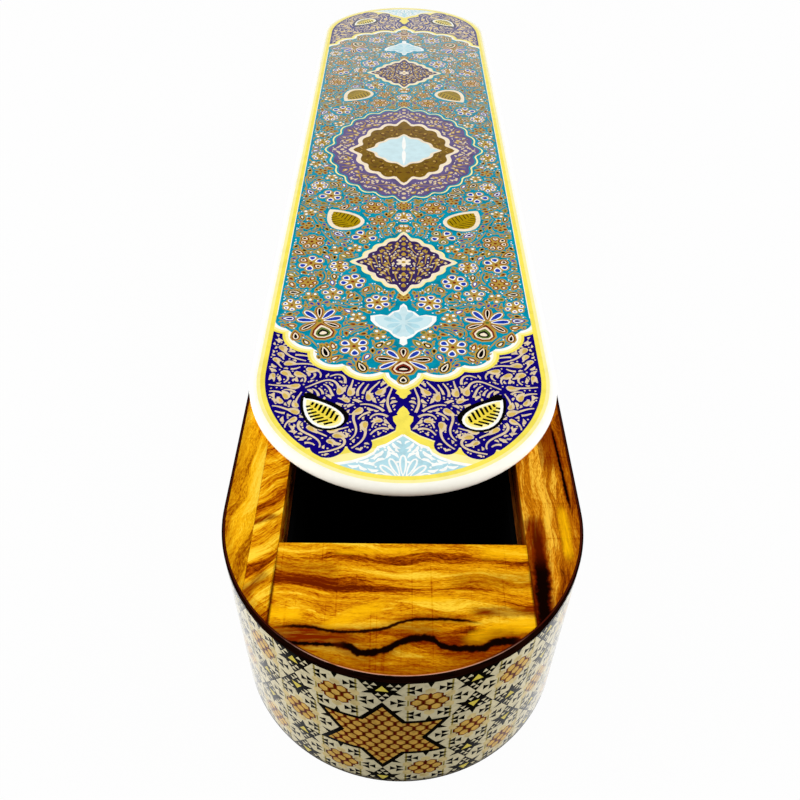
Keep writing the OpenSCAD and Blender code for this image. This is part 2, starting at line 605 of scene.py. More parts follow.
@dataclass(frozen=True)
class Lobed:
    """A closed medallion outline with round lobes, pointed on its two axes."""

    centre: Point
    half_width: float
    half_length: float
    lobes: int
    depth: float
    point: float
    fullness: float = 2.0

    def reach(self, angle: float) -> float:
        """Give the outline's reach at an angle, as a share of its half width and half length."""
        across, up = abs(math.cos(angle)), abs(math.sin(angle))
        base = (across ** self.fullness + up ** self.fullness) ** (-1 / self.fullness)
        lobe = 1 - self.depth * (1 - abs(math.cos(self.lobes * angle / 2)))
        off_axis = abs((angle + math.pi / 4) % (math.pi / 2) - math.pi / 4)
        return base * lobe + self.point * math.exp(-((off_axis / 0.1) ** 2))

    def outline(self, grow: float = 0.0, steps: int = 7) -> Outline:
        """Give the outline.

        Args:
            grow: How far it is set outwards.
            steps: Points on each lobe.

        Returns:
            The outline.
        """
        points: Outline = []
        for k in range(self.lobes * steps):
            angle = math.tau * k / (self.lobes * steps)
            reach = self.reach(angle)
            points.append((
                self.centre[0] + (self.half_width * reach + grow) * math.cos(angle),
                self.centre[1] + (self.half_length * reach + grow) * math.sin(angle),
            ))
        return points

    def holds(self, spot: Point, margin: float = 0.0) -> bool:
        """Say whether a point lies inside the outline, by some margin."""
        across = (spot[0] - self.centre[0]) / self.half_width
        up = (spot[1] - self.centre[1]) / self.half_length
        slack = margin / min(self.half_width, self.half_length)
        return math.hypot(across, up) < self.reach(math.atan2(up, across)) - slack


# Inlay of flat shapes


@dataclass
class Skin:
    """A flat skin of coloured triangles."""

    points: Outline
    triangles: list[tuple[int, int, int]]
    tints: list[Enum]

    def border(self) -> list[tuple[int, int]]:
        """List the outer edges, with the skin on their left."""
        edges: dict[tuple[int, int], None] = {}
        for triangle in self.triangles:
            for start, end in zip(triangle, triangle[1:] + triangle[:1]):
                if (end, start) in edges:
                    del edges[end, start]
                else:
                    edges[start, end] = None
        return list(edges)


@dataclass
class Inlay:
    """Flat coloured shapes, later ones over earlier ones, all trimmed to the first."""

    shapes: list[tuple[Enum, Outline]] = field(default_factory=list)
    folds: list[tuple[Point, Point]] = field(default_factory=list)
    merge: float = 0.0002

    def lay(self, tint: Enum, outline: Outline) -> None:
        """Lay a shape over what is there."""
        area = sum(a[0] * b[1] - b[0] * a[1] for a, b in zip(outline, outline[1:] + outline[:1]))
        self.shapes.append((tint, outline if area > 0 else outline[::-1]))

    def cut(self) -> Skin:
        """Cut the shapes into one skin in which each triangle has one tint."""
        spots: list[Vector] = []
        faces: list[list[int]] = []
        edges: list[tuple[int, int]] = []
        for _, outline in self.shapes:
            faces.append(list(range(len(spots), len(spots) + len(outline))))
            spots.extend(Vector(point) for point in outline)
        for fold in self.folds:
            edges.append((len(spots), len(spots) + 1))
            spots.extend(Vector(point) for point in fold)
        points, _, triangles, _, _, owners = delaunay_2d_cdt(spots, edges, faces, 1, self.merge)
        kept = [(tuple(t), max(o)) for t, o in zip(triangles, owners) if 0 in o]
        used = sorted({corner for triangle, _ in kept for corner in triangle})
        place = {corner: k for k, corner in enumerate(used)}
        return Skin(
            [(points[corner].x, points[corner].y) for corner in used],
            [tuple(place[corner] for corner in triangle) for triangle, _ in kept],
            [self.shapes[owner][0] for _, owner in kept],
        )


# Pieces


def new_piece(
    name: str,
    points: Sequence[Vector],
    faces: Sequence[Sequence[int]],
    materials: Sequence[bpy.types.Material],
    slots: Sequence[int] | None = None,
    crease: float = 35.0,
) -> bpy.types.Object:
    """Make an object from points in metres.

    Args:
        name: The piece's name.
        points: Its points.
        faces: Corners of each face.
        materials: Its materials.
        slots: The material of each face, by place.
        crease: Angle in degrees past which an edge stays sharp.

    Returns:
        The object, linked to the scene.
    """
    mesh = bpy.data.meshes.new(name)
    mesh.from_pydata([tuple(p) for p in points], [], [tuple(f) for f in faces])
    for material in materials:
        mesh.materials.append(material)
    if slots is not None:
        mesh.polygons.foreach_set("material_index", list(slots))
    return place_mesh(name, mesh, crease)


def place_mesh(name: str, mesh: bpy.types.Mesh, crease: float) -> bpy.types.Object:
    """Smooth a mesh up to a crease angle and put it in the scene.

    Args:
        name: The piece's name.
        mesh: Its mesh.
        crease: Angle in degrees past which an edge stays sharp.

    Returns:
        The object.
    """
    mesh.validate()
    mesh.shade_smooth()
    mesh.set_sharp_from_angle(angle=math.radians(crease))
    piece = bpy.data.objects.new(name, mesh)
    bpy.context.scene.collection.objects.link(piece)
    return piece


def rework(
    source: bpy.types.Mesh, target: bpy.types.Mesh, change: Callable[[bmesh.types.BMesh], object]
) -> None:
    """Fill a mesh with the changed form of another one, or of itself.

    Args:
        source: The mesh that is read.
        target: The mesh that is filled.
        change: What is done in between.
    """
    shape = bmesh.new()
    shape.from_mesh(source)
    change(shape)
    shape.to_mesh(target)
    shape.free()


def eased_copy(node: str, ease: float, material: bpy.types.Material) -> bpy.types.Object:
    """Copy a node's shape with its sharp edges eased, as after sanding.

    Args:
        node: The CAD node.
        ease: Width of the eased edge, in millimetres.
        material: The finish.

    Returns:
        The new piece.
    """

    def soften(shape: bmesh.types.BMesh) -> None:
        """Join the flat faces and bevel the sharp edges."""
        bmesh.ops.remove_doubles(shape, verts=shape.verts, dist=0.0005 * MM)
        flat = math.radians(0.4)
        bmesh.ops.dissolve_limit(shape, angle_limit=flat, verts=shape.verts, edges=shape.edges)
        corner = math.radians(35)
        sharp = [e for e in shape.edges if len(e.link_faces) == 2 and e.calc_face_angle() > corner]
        bmesh.ops.bevel(
            shape, geom=sharp, offset=ease * MM, segments=2, profile=0.5, affect="EDGES", clamp_overlap=True
        )

    mesh = bpy.data.meshes.new(f"{node}_eased")
    rework(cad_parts[node].data, mesh, soften)
    mesh.materials.clear()
    mesh.materials.append(material)
    for face in mesh.polygons:
        face.material_index = 0
    return place_mesh(f"{node}_eased", mesh, 50.0)


@dataclass
class SubAssembly:
    """Pieces that ride together on one body of the frame."""

    body: str

    def fit(self, piece: bpy.types.Object, slot: str, *nodes: str) -> None:
        """Seat a finished piece on the body and report it.

        Args:
            piece: The piece, already in place.
            slot: The record's slot that its finish comes from; not used.
            *nodes: The CAD nodes that it stands for.
        """
        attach(piece, self.body)
        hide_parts(*nodes)
        LOG.info("%s: %d faces, rides on %s", piece.name, len(piece.data.polygons), self.body)

    def dress(self, node: str, material: bpy.types.Material) -> None:
        """Give a CAD node that stays as it is a finish."""
        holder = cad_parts[node].data.materials
        holder.clear()
        holder.append(material)
        LOG.info("%s: kept from the frame, rides on %s", node, self.body)


@dataclass(frozen=True)
class RodFinish(LacquerFinish):
    """A rod of the marquetry, darkened along the foot by painted contact shadow."""

    patch: float = 1.0
    shine: Point = (0.62, 0.92)
    foot_shadow: Colour = srgb(40, 34, 30)
    foot_shadow_heights: Point = (0.5, 1.6)
    foot_shadow_share: float = 0.7

    def with_foot_shadow(self, bench: Bench, colour: bpy.types.NodeSocket, height: Value) -> bpy.types.NodeSocket:
        """Darken the colour near the floor: painted contact shadow."""
        # Painted contact shadow: the rods darken towards the floor.
        return bench.mix((1 - height.rise(*self.foot_shadow_heights)) * self.foot_shadow_share, colour, self.foot_shadow)


class Tessera(Enum):
    """Rods that the marquetry is sliced from."""

    BONE = RodFinish("camel_bone", srgb(196, 186, 152), spread=0.14)
    EBONY = RodFinish("ebony_rod", srgb(9, 7, 5), spread=0.5)
    OCHRE = RodFinish("ochre_wood_rod", srgb(190, 148, 66), spread=0.24)
    AMBER = RodFinish("amber_wood_rod", srgb(122, 74, 24), spread=0.3)
    BLOND = RodFinish("blond_wood_rod", srgb(194, 156, 74), spread=0.24)
    STRAW = RodFinish("straw_wood_rod", srgb(194, 174, 120), spread=0.2)
    CRIMSON = RodFinish("red_wood_rod", srgb(78, 16, 4), spread=0.5)
    BRASS = RodFinish("brass_rod", srgb(196, 178, 62), spread=0.16, roughness=0.4, metallic=0.3)
    SEAM = RodFinish("seam_line", srgb(140, 126, 62), spread=0.24)


@dataclass
class KhatamWall(SubAssembly):
    """Marquetry of six-petalled rosettes and stars round the wall.

    Places along and up the wall, seams and folds are in millimetres. Sizes are shares of a rod's width and
    height, and the rest are shares of a lattice cell.
    """

    cells_round: int = 40
    cells_per_star: int = 5
    star_along: float = -2.9
    star_height: float = 17.5
    row_share: float = 0.955
    seam: float = 0.32
    fold_step: float = 2.2
    rod: float = 0.1385
    border: float = 0.058
    petal_reach: float = 0.5
    seam_place: float = 0.228
    seam_reach: float = 0.43
    bud_place: float = 0.335
    leaf_reach: float = 0.096
    leaf_turn: float = 35.0
    notch_tip: float = 0.325
    notch_foot: float = 0.436
    notch_turn: float = 4.8
    slip: float = 0.84
    brass_inset: float = 0.074
    star_reach: float = 0.88
    net_size: Point = (1.03, 1.03)
    rim_size: Point = (0.8, 0.96)
    heart_size: Point = (0.64, 0.8)
    pale_size: Point = (0.8, 0.9)
    corner_size: float = 0.34

    def __post_init__(self) -> None:
        """Read the wall's sizes from the frame."""
        low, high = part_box("khatam_front")
        self.radius = high.x / MM
        self.bottom, self.top = low.z / MM, high.z / MM
        self.thick = self.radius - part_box("base_board")[1].x / MM
        self.straight = -2 * high.y / MM
        self.arc = math.pi * self.radius
        self.round = 2 * (self.arc + self.straight)
        self.cell = self.round / self.cells_round

    def wrap(self, along: float, height: float, depth: float = 0.0) -> Vector:
        """Bend a point of the flat pattern round the box.

        Args:
            along: Distance to the right from the front's middle.
            height: Height above the floor.
            depth: How far it lies under the surface.

        Returns:
            The point in metres.
        """
        along = (along + self.round / 2) % self.round - self.round / 2
        side, run = math.copysign(1.0, along), abs(along)
        reach, half = self.radius - depth, self.straight / 2
        past = run - self.arc / 2
        if past < 0:
            x, y = reach * math.sin(run / self.radius), -half - reach * math.cos(run / self.radius)
        elif past < self.straight:
            x, y = reach, past - half
        else:
            turn = (past - self.straight) / self.radius
            x, y = reach * math.cos(turn), half + reach * math.sin(turn)
        return Vector((side * x, y, height)) * MM

    def spot(self, centre: Point, reach: float, degrees: float) -> Point:
        """Give a point round a centre of the lattice, with the reach in cells."""
        turn = math.radians(degrees)
        return (
            centre[0] + self.cell * reach * math.cos(turn),
            centre[1] + self.cell * self.row_share * reach * math.sin(turn),
        )

    def hexagon(self, place: Point, wide: float, tall: float) -> Outline:
        """Outline a rod, with shares of its width and height."""
        corners = [self.spot(place, self.rod / math.sqrt(3), HALF_SIXTH + turn) for turn in SIXTHS]
        return [(place[0] + (x - place[0]) * wide, place[1] + (y - place[1]) * tall) for x, y in corners]

    def rods(self, inlay: Inlay, places: Sequence[Point], heart: Tessera) -> None:
        """Lay hexagonal rods in their red net.

        Args:
            inlay: What they are laid on.
            places: Their middles.
            heart: Their wood.
        """
        for place in places:
            inlay.lay(Tessera.CRIMSON, self.hexagon(place, *self.net_size))
        for place in places:
            inlay.lay(Tessera.AMBER, self.hexagon(place, *self.rim_size))
            inlay.lay(heart, self.hexagon(place, *self.heart_size))

    def rosette(self, inlay: Inlay, centre: Point) -> None:
        """Lay a rosette: bone petals, a black trefoil in each, and a core of rods.

        Args:
            inlay: What it is laid on.
            centre: Its middle.
        """
        inlay.lay(Tessera.BONE, [self.spot(centre, self.petal_reach, turn) for turn in SIXTHS])
        for side in (-self.seam_place, self.seam_place):
            foot = self.spot((centre[0] + side * self.cell, centre[1]), self.seam_reach, 270)
            inlay.lay(Tessera.SEAM, ribbon([foot, (foot[0], 2 * centre[1] - foot[1])], self.seam))
        for turn in SIXTHS:
            bud = self.spot(centre, self.bud_place, turn)
            for third in THIRDS:
                aim = turn + third
                outer = [self.spot(bud, self.leaf_reach, aim + k) for k in (-self.leaf_turn, self.leaf_turn)]
                inlay.lay(Tessera.EBONY, [bud, *outer])
            between = turn + HALF_SIXTH
            turns = (between - self.notch_turn, between + self.notch_turn)
            foot = [self.spot(centre, self.notch_foot, side) for side in turns]
            inlay.lay(Tessera.EBONY, [*foot, self.spot(centre, self.notch_tip, between)])
        for turn in SIXTHS:
            between = turn + HALF_SIXTH
            outer_rod = self.spot(centre, self.rod * math.sqrt(3), between)
            inlay.lay(Tessera.STRAW, self.hexagon(outer_rod, *self.pale_size))
            corner = self.spot(centre, self.rod * 2 / math.sqrt(3), between)
            reach = self.rod * self.corner_size
            inlay.lay(Tessera.CRIMSON, [self.spot(corner, reach, between + third) for third in THIRDS])
        middles = [centre, *(self.spot(centre, self.rod, turn) for turn in SIXTHS)]
        self.rods(inlay, middles, Tessera.BLOND)

    def gap(self, inlay: Inlay, corners: Outline) -> None:
        """Fill the triangle between three rosettes: black and bone slips round a brass triangle.

        Args:
            inlay: What it is laid on.
            corners: Its three corners.
        """
        inlay.lay(Tessera.EBONY, corners)

        def inside(first: float, second: float) -> Point:
            """Give a point by its shares towards the second and third corner."""
            rest = 1 - first - second
            return tuple(
                rest * a + first * b + second * c for a, b, c in zip(corners[0], corners[1], corners[2])
            )

        unit = 1 / 6
        for start, step in ((0.0, 0.0), (0.5, 0.0), (0.0, 0.5)):
            for row, column in ((0, 0), (1, 0), (0, 1)):
                a, b = start + unit * column, step + unit * row
                trio = [(a + unit, b), (a + unit, b + unit), (a, b + unit)]
                middle = (a + unit * 2 / 3, b + unit * 2 / 3)
                inlay.lay(Tessera.BONE, [
                    inside(*(m + (c - m) * self.slip for c, m in zip(corner, middle))) for corner in trio
                ])
        slim = self.brass_inset
        inlay.lay(Tessera.BRASS, [
            inside(0.5 - slim, 0.5 - slim), inside(2 * slim, 0.5 - slim), inside(0.5 - slim, 2 * slim)
        ])

    def star(self, inlay: Inlay, centre: Point) -> None:
        """Lay a six-pointed star of rods with a black border.

        Args:
            inlay: What it is laid on.
            centre: Its middle.
        """
        reaches = (0.5, math.sqrt(3) / 2)
        outer = [self.spot(centre, reaches[k % 2], HALF_SIXTH * k) for k in range(12)]
        trim = 1 - self.border * 4 / math.sqrt(3)
        inner = [(centre[0] + (x - centre[0]) * trim, centre[1] + (y - centre[1]) * trim) for x, y in outer]
        inlay.lay(Tessera.CRIMSON, outer)
        places: Outline = []
        for row in range(-6, 7):
            for column in range(-7, 8):
                shift = (column + 0.5 * (row % 2)) * self.rod
                rise = row * self.rod * math.sqrt(3) / 2
                if math.hypot(shift, rise) < self.star_reach:
                    places.append((
                        centre[0] + shift * self.cell, centre[1] + rise * self.cell * self.row_share
                    ))
        self.rods(inlay, places, Tessera.OCHRE)
        for k in range(12):
            inlay.lay(Tessera.EBONY, [outer[k - 1], outer[k], inner[k], inner[k - 1]])

    def pattern(self, start: float, end: float) -> Skin:
        """Cut the flat pattern of one stretch of the wall.

        Args:
            start: Its left end along the wall.
            end: Its right end.

        Returns:
            The skin.
        """
        inlay = Inlay()
        low, high = self.bottom, self.top
        inlay.lay(Tessera.EBONY, [(start, low), (end, low), (end, high), (start, high)])
        folds = round((end - start) / self.fold_step)
        for k in range(1, folds):
            at = start + (end - start) * k / folds
            inlay.folds.append(((at, low), (at, high)))
        first = math.floor((start - self.star_along) / self.cell) - 1
        last = math.ceil((end - self.star_along) / self.cell) + 1
        rise = self.cell * self.row_share * math.sqrt(3) / 2

        def middle(row: int, column: int) -> Point:
            """Give the middle of a lattice cell."""
            shift = 0.5 * (row % 2)
            return self.star_along + (column + shift) * self.cell, self.star_height + row * rise

        starred = [k for k in range(first - 1, last + 2) if k % self.cells_per_star == 0]
        for column in starred:
            self.star(inlay, middle(0, column))
        for row in (-1, 0, 1):
            for column in range(first, last + 1):
                if row or column not in starred:
                    self.rosette(inlay, middle(row, column))
        for row in (-2, -1, 0, 1):
            for column in range(first, last + 1):
                upper = column + row % 2
                below = (middle(row, column), middle(row, column + 1))
                above = (middle(row + 1, upper - 1), middle(row + 1, upper))
                for trio in ((*below, above[1]), (*above, below[0])):
                    if not any(math.dist(spot, middle(0, k)) < 0.1 for spot in trio for k in starred):
                        sides = zip(trio, trio[1:] + trio[:1])
                        self.gap(inlay, [((a[0] + b[0]) / 2, (a[1] + b[1]) / 2) for a, b in sides])
        return inlay.cut()

    def panel(self, name: str, start: float, end: float) -> None:
        """Build one veneer panel with its edges turned in.

        Args:
            name: The CAD node that it stands for.
            start: Its left end along the wall.
            end: Its right end.
        """
        skin = self.pattern(start, end)
        points = [self.wrap(*point) for point in skin.points]
        faces: list[Sequence[int]] = list(skin.triangles)
        order = list(Tessera)
        slots = [order.index(tint) for tint in skin.tints]
        inner: dict[int, int] = {}
        for edge in skin.border():
            for corner in edge:
                if corner not in inner:
                    inner[corner] = len(points)
                    points.append(self.wrap(*skin.points[corner], self.thick))
            faces.append((edge[1], edge[0], inner[edge[0]], inner[edge[1]]))
            slots.append(order.index(Tessera.EBONY))
        materials = [self.finishes[tint] for tint in order]
        piece = new_piece(f"{name}_veneer", points, faces, materials, slots)
        self.fit(piece, "khatam_marquetry", name)

    def build(self) -> None:
        """Build the four panels of the wall."""
        self.finishes = {tint: tint.value.material() for tint in Tessera}
        turn = self.arc / 2
        self.panel("khatam_front", -turn, turn)
        self.panel("khatam_right", turn, turn + self.straight)
        self.panel("khatam_rear", turn + self.straight, turn + self.straight + self.arc)
        self.panel("khatam_left", -turn - self.straight, -turn)


@dataclass
class WoodCarcass(SubAssembly):
    """The boards of the box, each with its own grain."""

    ease: float = 0.09

    @staticmethod
    def front_veins() -> tuple[Streak, ...]:
        """Give the front block's dark and light patches, and the two veins over them."""
        dark = (
            (((-24.0, -108.2), (-19.0, -107.6), (-13.0, -107.8), (-8.5, -108.4)), 1.2, 2.2, 0.5, 3.0),
            (((6.0, -109.4), (10.0, -109.0), (16.0, -108.9), (24.0, -108.8)), 0.6, 1.6, 0.5, 3.0),
            (((9.0, -114.6), (12.0, -114.4), (17.0, -114.3), (24.0, -114.2)), 0.5, 0.9, 0.85, 3.0),
            (((-25.0, -118.7), (-18.6, -118.4), (-10.0, -118.8), (-2.5, -119.4)), 1.0, 1.4, 1.1, 10.0),
            (((-14.0, -122.6), (-4.0, -123.3), (4.0, -123.1), (13.0, -121.8)), 1.4, 1.5, 0.4, 3.0),
            (((-3.0, -119.0), (2.0, -117.6), (6.0, -118.2), (9.5, -119.2)), 0.8, 0.8, 0.5, 3.0),
        )
        light = (
            (((-23.0, -115.2), (-20.0, -114.9), (-17.0, -115.0), (-13.5, -115.6)), 0.9, 0.8, 0.75),
            (((-13.5, -117.2), (-11.0, -116.9), (-6.5, -114.6), (-1.5, -113.2)), 0.7, 0.9, 0.75),
            (((8.0, -119.3), (10.5, -118.9), (14.4, -117.4), (23.0, -115.8)), 0.9, 0.8, 0.8),
            (((-0.5, -112.4), (2.0, -112.3), (6.0, -112.2), (9.0, -112.1)), 0.25, 0.4, 0.8),
            (((-12.0, -103.7), (-8.0, -103.6), (0.0, -103.4), (4.0, -103.3)), 0.3, 0.6, 0.6),
            (((11.0, -103.9), (14.0, -103.7), (18.0, -103.6), (23.0, -103.4)), 0.8, 1.0, 0.6),
        )
        thick_start = ((-20.0, -119.4), (-15.4, -119.8), (-10.0, -120.0), (-6.5, -120.6))
        thick = (
            (-10.5, -119.9), (-7.6, -120.3), (-6.0, -121.2), (-2.5, -120.7), (0.0, -119.4), (3.6, -118.8),
            (5.6, -120.0), (8.0, -120.4), (11.0, -120.4), (13.5, -119.4), (18.5, -119.0),
        )
        thin = (
            (-19.6, -117.2), (-15.0, -117.1), (-9.0, -117.9), (-4.0, -117.6), (0.0, -116.2),
            (3.4, -115.7), (8.0, -115.8), (12.5, -116.7),
        )
        return (
            *(Streak.wash(*patch, taper=taper) for *patch, taper in dark),
            *(Streak.wash(*patch, GLOW) for patch in light),
            Streak(thick_start, half_width=0.26, halo=2.0, taper=1.5),
            Streak(thick, half_width=0.55, halo=2.4, halo_share=0.75, taper=2.5),
            Streak(thin, half_width=0.2, halo=1.4, halo_share=0.65, core_share=0.9),
        )

    @staticmethod
    def rear_veins() -> tuple[Streak, ...]:
        """Give the rear block's two veins."""
        thick = (
            (-18.0, 118.8), (-11.0, 119.4), (-6.0, 118.0), (0.0, 118.6), (5.0, 119.8), (10.0, 118.6),
            (17.0, 118.9),
        )
        thin = ((-9.0, 113.2), (-2.0, 112.4), (6.0, 113.3), (16.0, 112.8))
        return Streak(thick, half_width=0.5), Streak(thin, half_width=0.24, halo=1.4, halo_share=0.4)

    @staticmethod
    def right_heart() -> tuple[Streak, ...]:
        """Give the dark heartwood at the front of the right lip."""
        patch = ((-127.0, -21.2), (-112.0, -21.3), (-104.0, -21.6), (-95.0, -21.7))
        brown = ((-124.0, -21.2), (-108.0, -21.6), (-101.0, -21.9), (-95.5, -21.6))
        black = ((-128.0, -21.1), (-114.0, -21.3), (-107.0, -21.8), (-101.5, -21.8))
        return (
            Streak.wash(patch, 1.5, 1.0, 0.9),
            Streak(brown, half_width=0.5, halo=1.4, halo_share=0.85, taper=6.0, core_share=0.0, ember=0.6),
            Streak(black, half_width=1.1, halo=0.8, halo_share=0.8, taper=6.0, ember=0.5),
        )

    @staticmethod
    def right_figure() -> tuple[Streak, ...]:
        """Give the right rail's dark and light patch, and the crack beside them."""
        dark = ((-87.0, -26.4), (-82.0, -26.2), (-76.0, -25.9), (-68.0, -25.6))
        light = ((-106.0, -26.5), (-102.0, -26.6), (-97.0, -26.7), (-93.0, -26.5))
        crack = ((-96.0, -28.3), (-90.0, -28.1), (-83.0, -27.9), (-74.0, -27.5))
        return (
            Streak.wash(dark, 1.5, 1.4, 0.75),
            Streak.wash(light, 0.5, 0.7, 0.8, GLOW),
            Streak(crack, half_width=0.2, halo=0.8),
        )

    @staticmethod
    def left_figure() -> tuple[Streak, ...]:
        """Give the left lip's two dark patches."""
        rear = ((-93.6, -40.5), (-92.4, -41.0), (-89.6, -42.4), (-88.4, -43.0))
        front = ((-104.8, -49.9), (-103.3, -49.7), (-98.6, -49.5), (-97.2, -49.3))
        return Streak.wash(rear, 0.5, 0.7, 0.9, taper=1.2), Streak.wash(front, 0.6, 0.9, 0.75, taper=1.6)

    def finishes(self) -> dict[str, WoodFinish]:
        """Give each board that shows its wood."""
        sides = (-HALF_TRAY, HALF_TRAY)
        right_wood = WoodFinish("right_rail_wood", 90.0, 1.7, HONEY, figure=0.6, slant=0.05)
        return {
            "front_end_block": WoodFinish(
                "front_block_wood", 0.0, 14.4, figure=0.6, slant=0.06,
                streaks=self.front_veins(), joints=sides,
            ),
            "rear_end_block": WoodFinish(
                "rear_block_wood", -2.0, 8.4, streaks=self.rear_veins(), joints=sides
            ),
            "left_outer_rail": WoodFinish("left_rail_wood", 86.0, 5.2, YELLOW, figure=0.5, slant=0.1),
            "right_outer_rail": replace(right_wood, streaks=self.right_figure()),
            "left_guide_lip": WoodFinish(
                "left_lip_wood", 52.0, 6.6, figure=0.8, slant=0.2,
                streaks=self.left_figure(), joints=sides[:1], shaded_inner_face=HALF_TRAY,
            ),
            "right_guide_lip": replace(
                right_wood, name="right_lip_wood",
                streaks=self.right_heart(), joints=sides[1:], shaded_inner_face=HALF_TRAY,
            ),
            # The inner rails' dark wood also stands in for the shade inside the tray, as painted shade.
            "left_inner_rail": WoodFinish("left_inner_wood", 90.0, 4.2, BROWN),
            "right_inner_rail": WoodFinish("right_inner_wood", 90.0, 7.5, BROWN),
        }

    def build(self) -> None:
        """Build the boards that show and finish the rest."""
        for node, finish in self.finishes().items():
            self.fit(eased_copy(node, self.ease, finish.material()), "olive_wood", node)
        packer_wood = WoodFinish("packer_wood", 90.0, 9.3, BROWN).material()
        for end in ("front", "rear"):
            for side in ("left", "right"):
                self.dress(f"{end}_{side}_packer", packer_wood)
        self.dress("base_board", WoodFinish("base_wood", 90.0, 11.8, BROWN).material())


@dataclass(frozen=True)
class EdgingFinish:
    """Dark stain over wood, worn to the wood along its inner edge, with places in millimetres."""

    name: str = "dark_edging"
    dark: Colour = srgb(20, 5, 2)
    red: Colour = srgb(66, 20, 10)
    worn: Colour = srgb(176, 96, 14)
    edge_highlight: Colour = srgb(222, 172, 150)
    worn_ends: Point = (7.0, 16.0)
    stain_edge: Point = (29.68, 29.78)
    edge_highlight_place: float = 29.7
    edge_highlight_line: Point = (0.03, 0.09)
    edge_highlight_ends: Point = (11.0, 20.0)
    edge_highlight_share: float = 0.6

    def material(self) -> bpy.types.Material:
        """Make the mottled stain, worn round the middle of each end, and a painted highlight line inside it.
        """
        bench = Bench.named(self.name)
        x, y, z = bench.place()
        out = bench.from_spine()
        cloud = bench.cloud(x * 0.33, y * 0.33, z * 2)
        stain = bench.mix(cloud.rise(0.35, 0.65), shaded(self.dark, 0.5), shaded(self.dark, 1.5))
        rubbed = bench.mix(abs(x).rise(*self.worn_ends), self.worn, self.red)
        top = bench.mix(out.rise(*self.stain_edge), rubbed, stain)
        # Painted highlight: a thin pale line along the rim's inner top edge, strongest round the middle of
        # each end.
        line = (1 - abs(out - self.edge_highlight_place).rise(*self.edge_highlight_line)) * (1 - abs(x).rise(*self.edge_highlight_ends))
        return bench.surface(
            Base_Color=bench.mix(line * cloud.rise(0.25, 0.5) * self.edge_highlight_share, top, self.edge_highlight),
            Roughness=cloud * 0.2 + 0.3,
            Specular_IOR_Level=0.0,
            Coat_Weight=bench.edge_on().rise(0.9, 1.0),
            Coat_Roughness=0.1,
        )


@dataclass
class Edging(SubAssembly):
    """Dark lacquered strips along the rim and the foot."""

    ease: float = 0.14

    def build(self) -> None:
        """Build the strips on all four sides."""
        stain = EdgingFinish().material()
        for strip in ("rim_edging", "foot_edging"):
            for side in ("front", "rear", "left", "right"):
                node = f"{strip}_{side}"
                self.fit(eased_copy(node, self.ease, stain), "dark_edging", node)


@dataclass
class VelvetTray(SubAssembly):
    """Velvet panels glued into the tray, in millimetres."""

    step: float = 4.0
    edge_round: float = 0.5
    ripple: float = 0.05

    def places(self, low: float, high: float) -> list[float]:
        """Space grid lines between two edges, closer where the edge turns."""
        turn = [self.edge_round * share for share in (0.0, 0.12, 0.4, 1.0)]
        count = max(2, round((high - low) / self.step))
        inner = [low + (high - low) * k / count for k in range(1, count)]
        return [low + t for t in turn] + inner + [high - t for t in reversed(turn)]

    def panel(self, node: str, axis: int, facing: int, rests_on: str) -> None:
        """Build one panel with a soft edge and a slightly uneven pile.

        Args:
            node: The CAD node that it stands for.
            axis: The axis of its thickness.
            facing: Which way it faces along that axis.
            rests_on: The board that it is glued to; not used.
        """
        low, high = (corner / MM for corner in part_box(node))
        first, second = [k for k in range(3) if k != axis]
        rows, columns = self.places(low[first], high[first]), self.places(low[second], high[second])
        back, front = (low[axis], high[axis]) if facing > 0 else (high[axis], low[axis])
        points: list[Vector] = []
        for a in rows:
            for b in columns:
                gap = min(a - low[first], high[first] - a, b - low[second], high[second] - b)
                short = 1 - min(1.0, max(0.0, gap) / self.edge_round)
                fall = self.edge_round * (1 - math.sqrt(max(0.0, 1 - short * short)))
                wave = self.ripple * (noise.noise(Vector((a, b, axis * 7.0)) * 0.3) - 1)
                spot = Vector((0.0, 0.0, 0.0))
                spot[first], spot[second] = a, b
                spot[axis] = front - facing * (fall - wave * (1 - short))
                points.append(spot)
        wide, deep = len(columns), len(rows)
        quads = [
            (r * wide + c, (r + 1) * wide + c, (r + 1) * wide + c + 1, r * wide + c + 1)
            for r in range(deep - 1) for c in range(wide - 1)
        ]
        rim = [c for c in range(wide)] + [r * wide + wide - 1 for r in range(1, deep)]
        rim += [(deep - 1) * wide + c for c in range(wide - 2, -1, -1)]
        rim += [r * wide for r in range(deep - 2, 0, -1)]
        base = len(points)
        for corner in rim:
            spot = points[corner].copy()
            spot[axis] = back
            points.append(spot)
        count = len(rim)
        walls = [(rim[k], rim[(k + 1) % count], base + (k + 1) % count, base + k) for k in range(count)]
        faces = quads + walls + [tuple(range(base, base + count))]
        piece = new_piece(f"{node}_panel", [p * MM for p in points], faces, [self.pile], crease=60.0)
        mesh = piece.data
        rework(mesh, mesh, lambda shape: bmesh.ops.recalc_face_normals(shape, faces=shape.faces))
        self.fit(piece, "black_velvet", node)

    def build(self) -> None:
        """Line the floor and the four walls."""
        self.pile = VelvetFinish().material()
        self.panel("velvet_floor", 2, 1, "base_board")
        self.panel("velvet_left_wall", 0, 1, "left_inner_rail_eased")
        self.panel("velvet_right_wall", 0, -1, "right_inner_rail_eased")
        self.panel("velvet_front_wall", 1, 1, "front_end_block_eased")
        self.panel("velvet_rear_wall", 1, -1, "rear_end_block_eased")


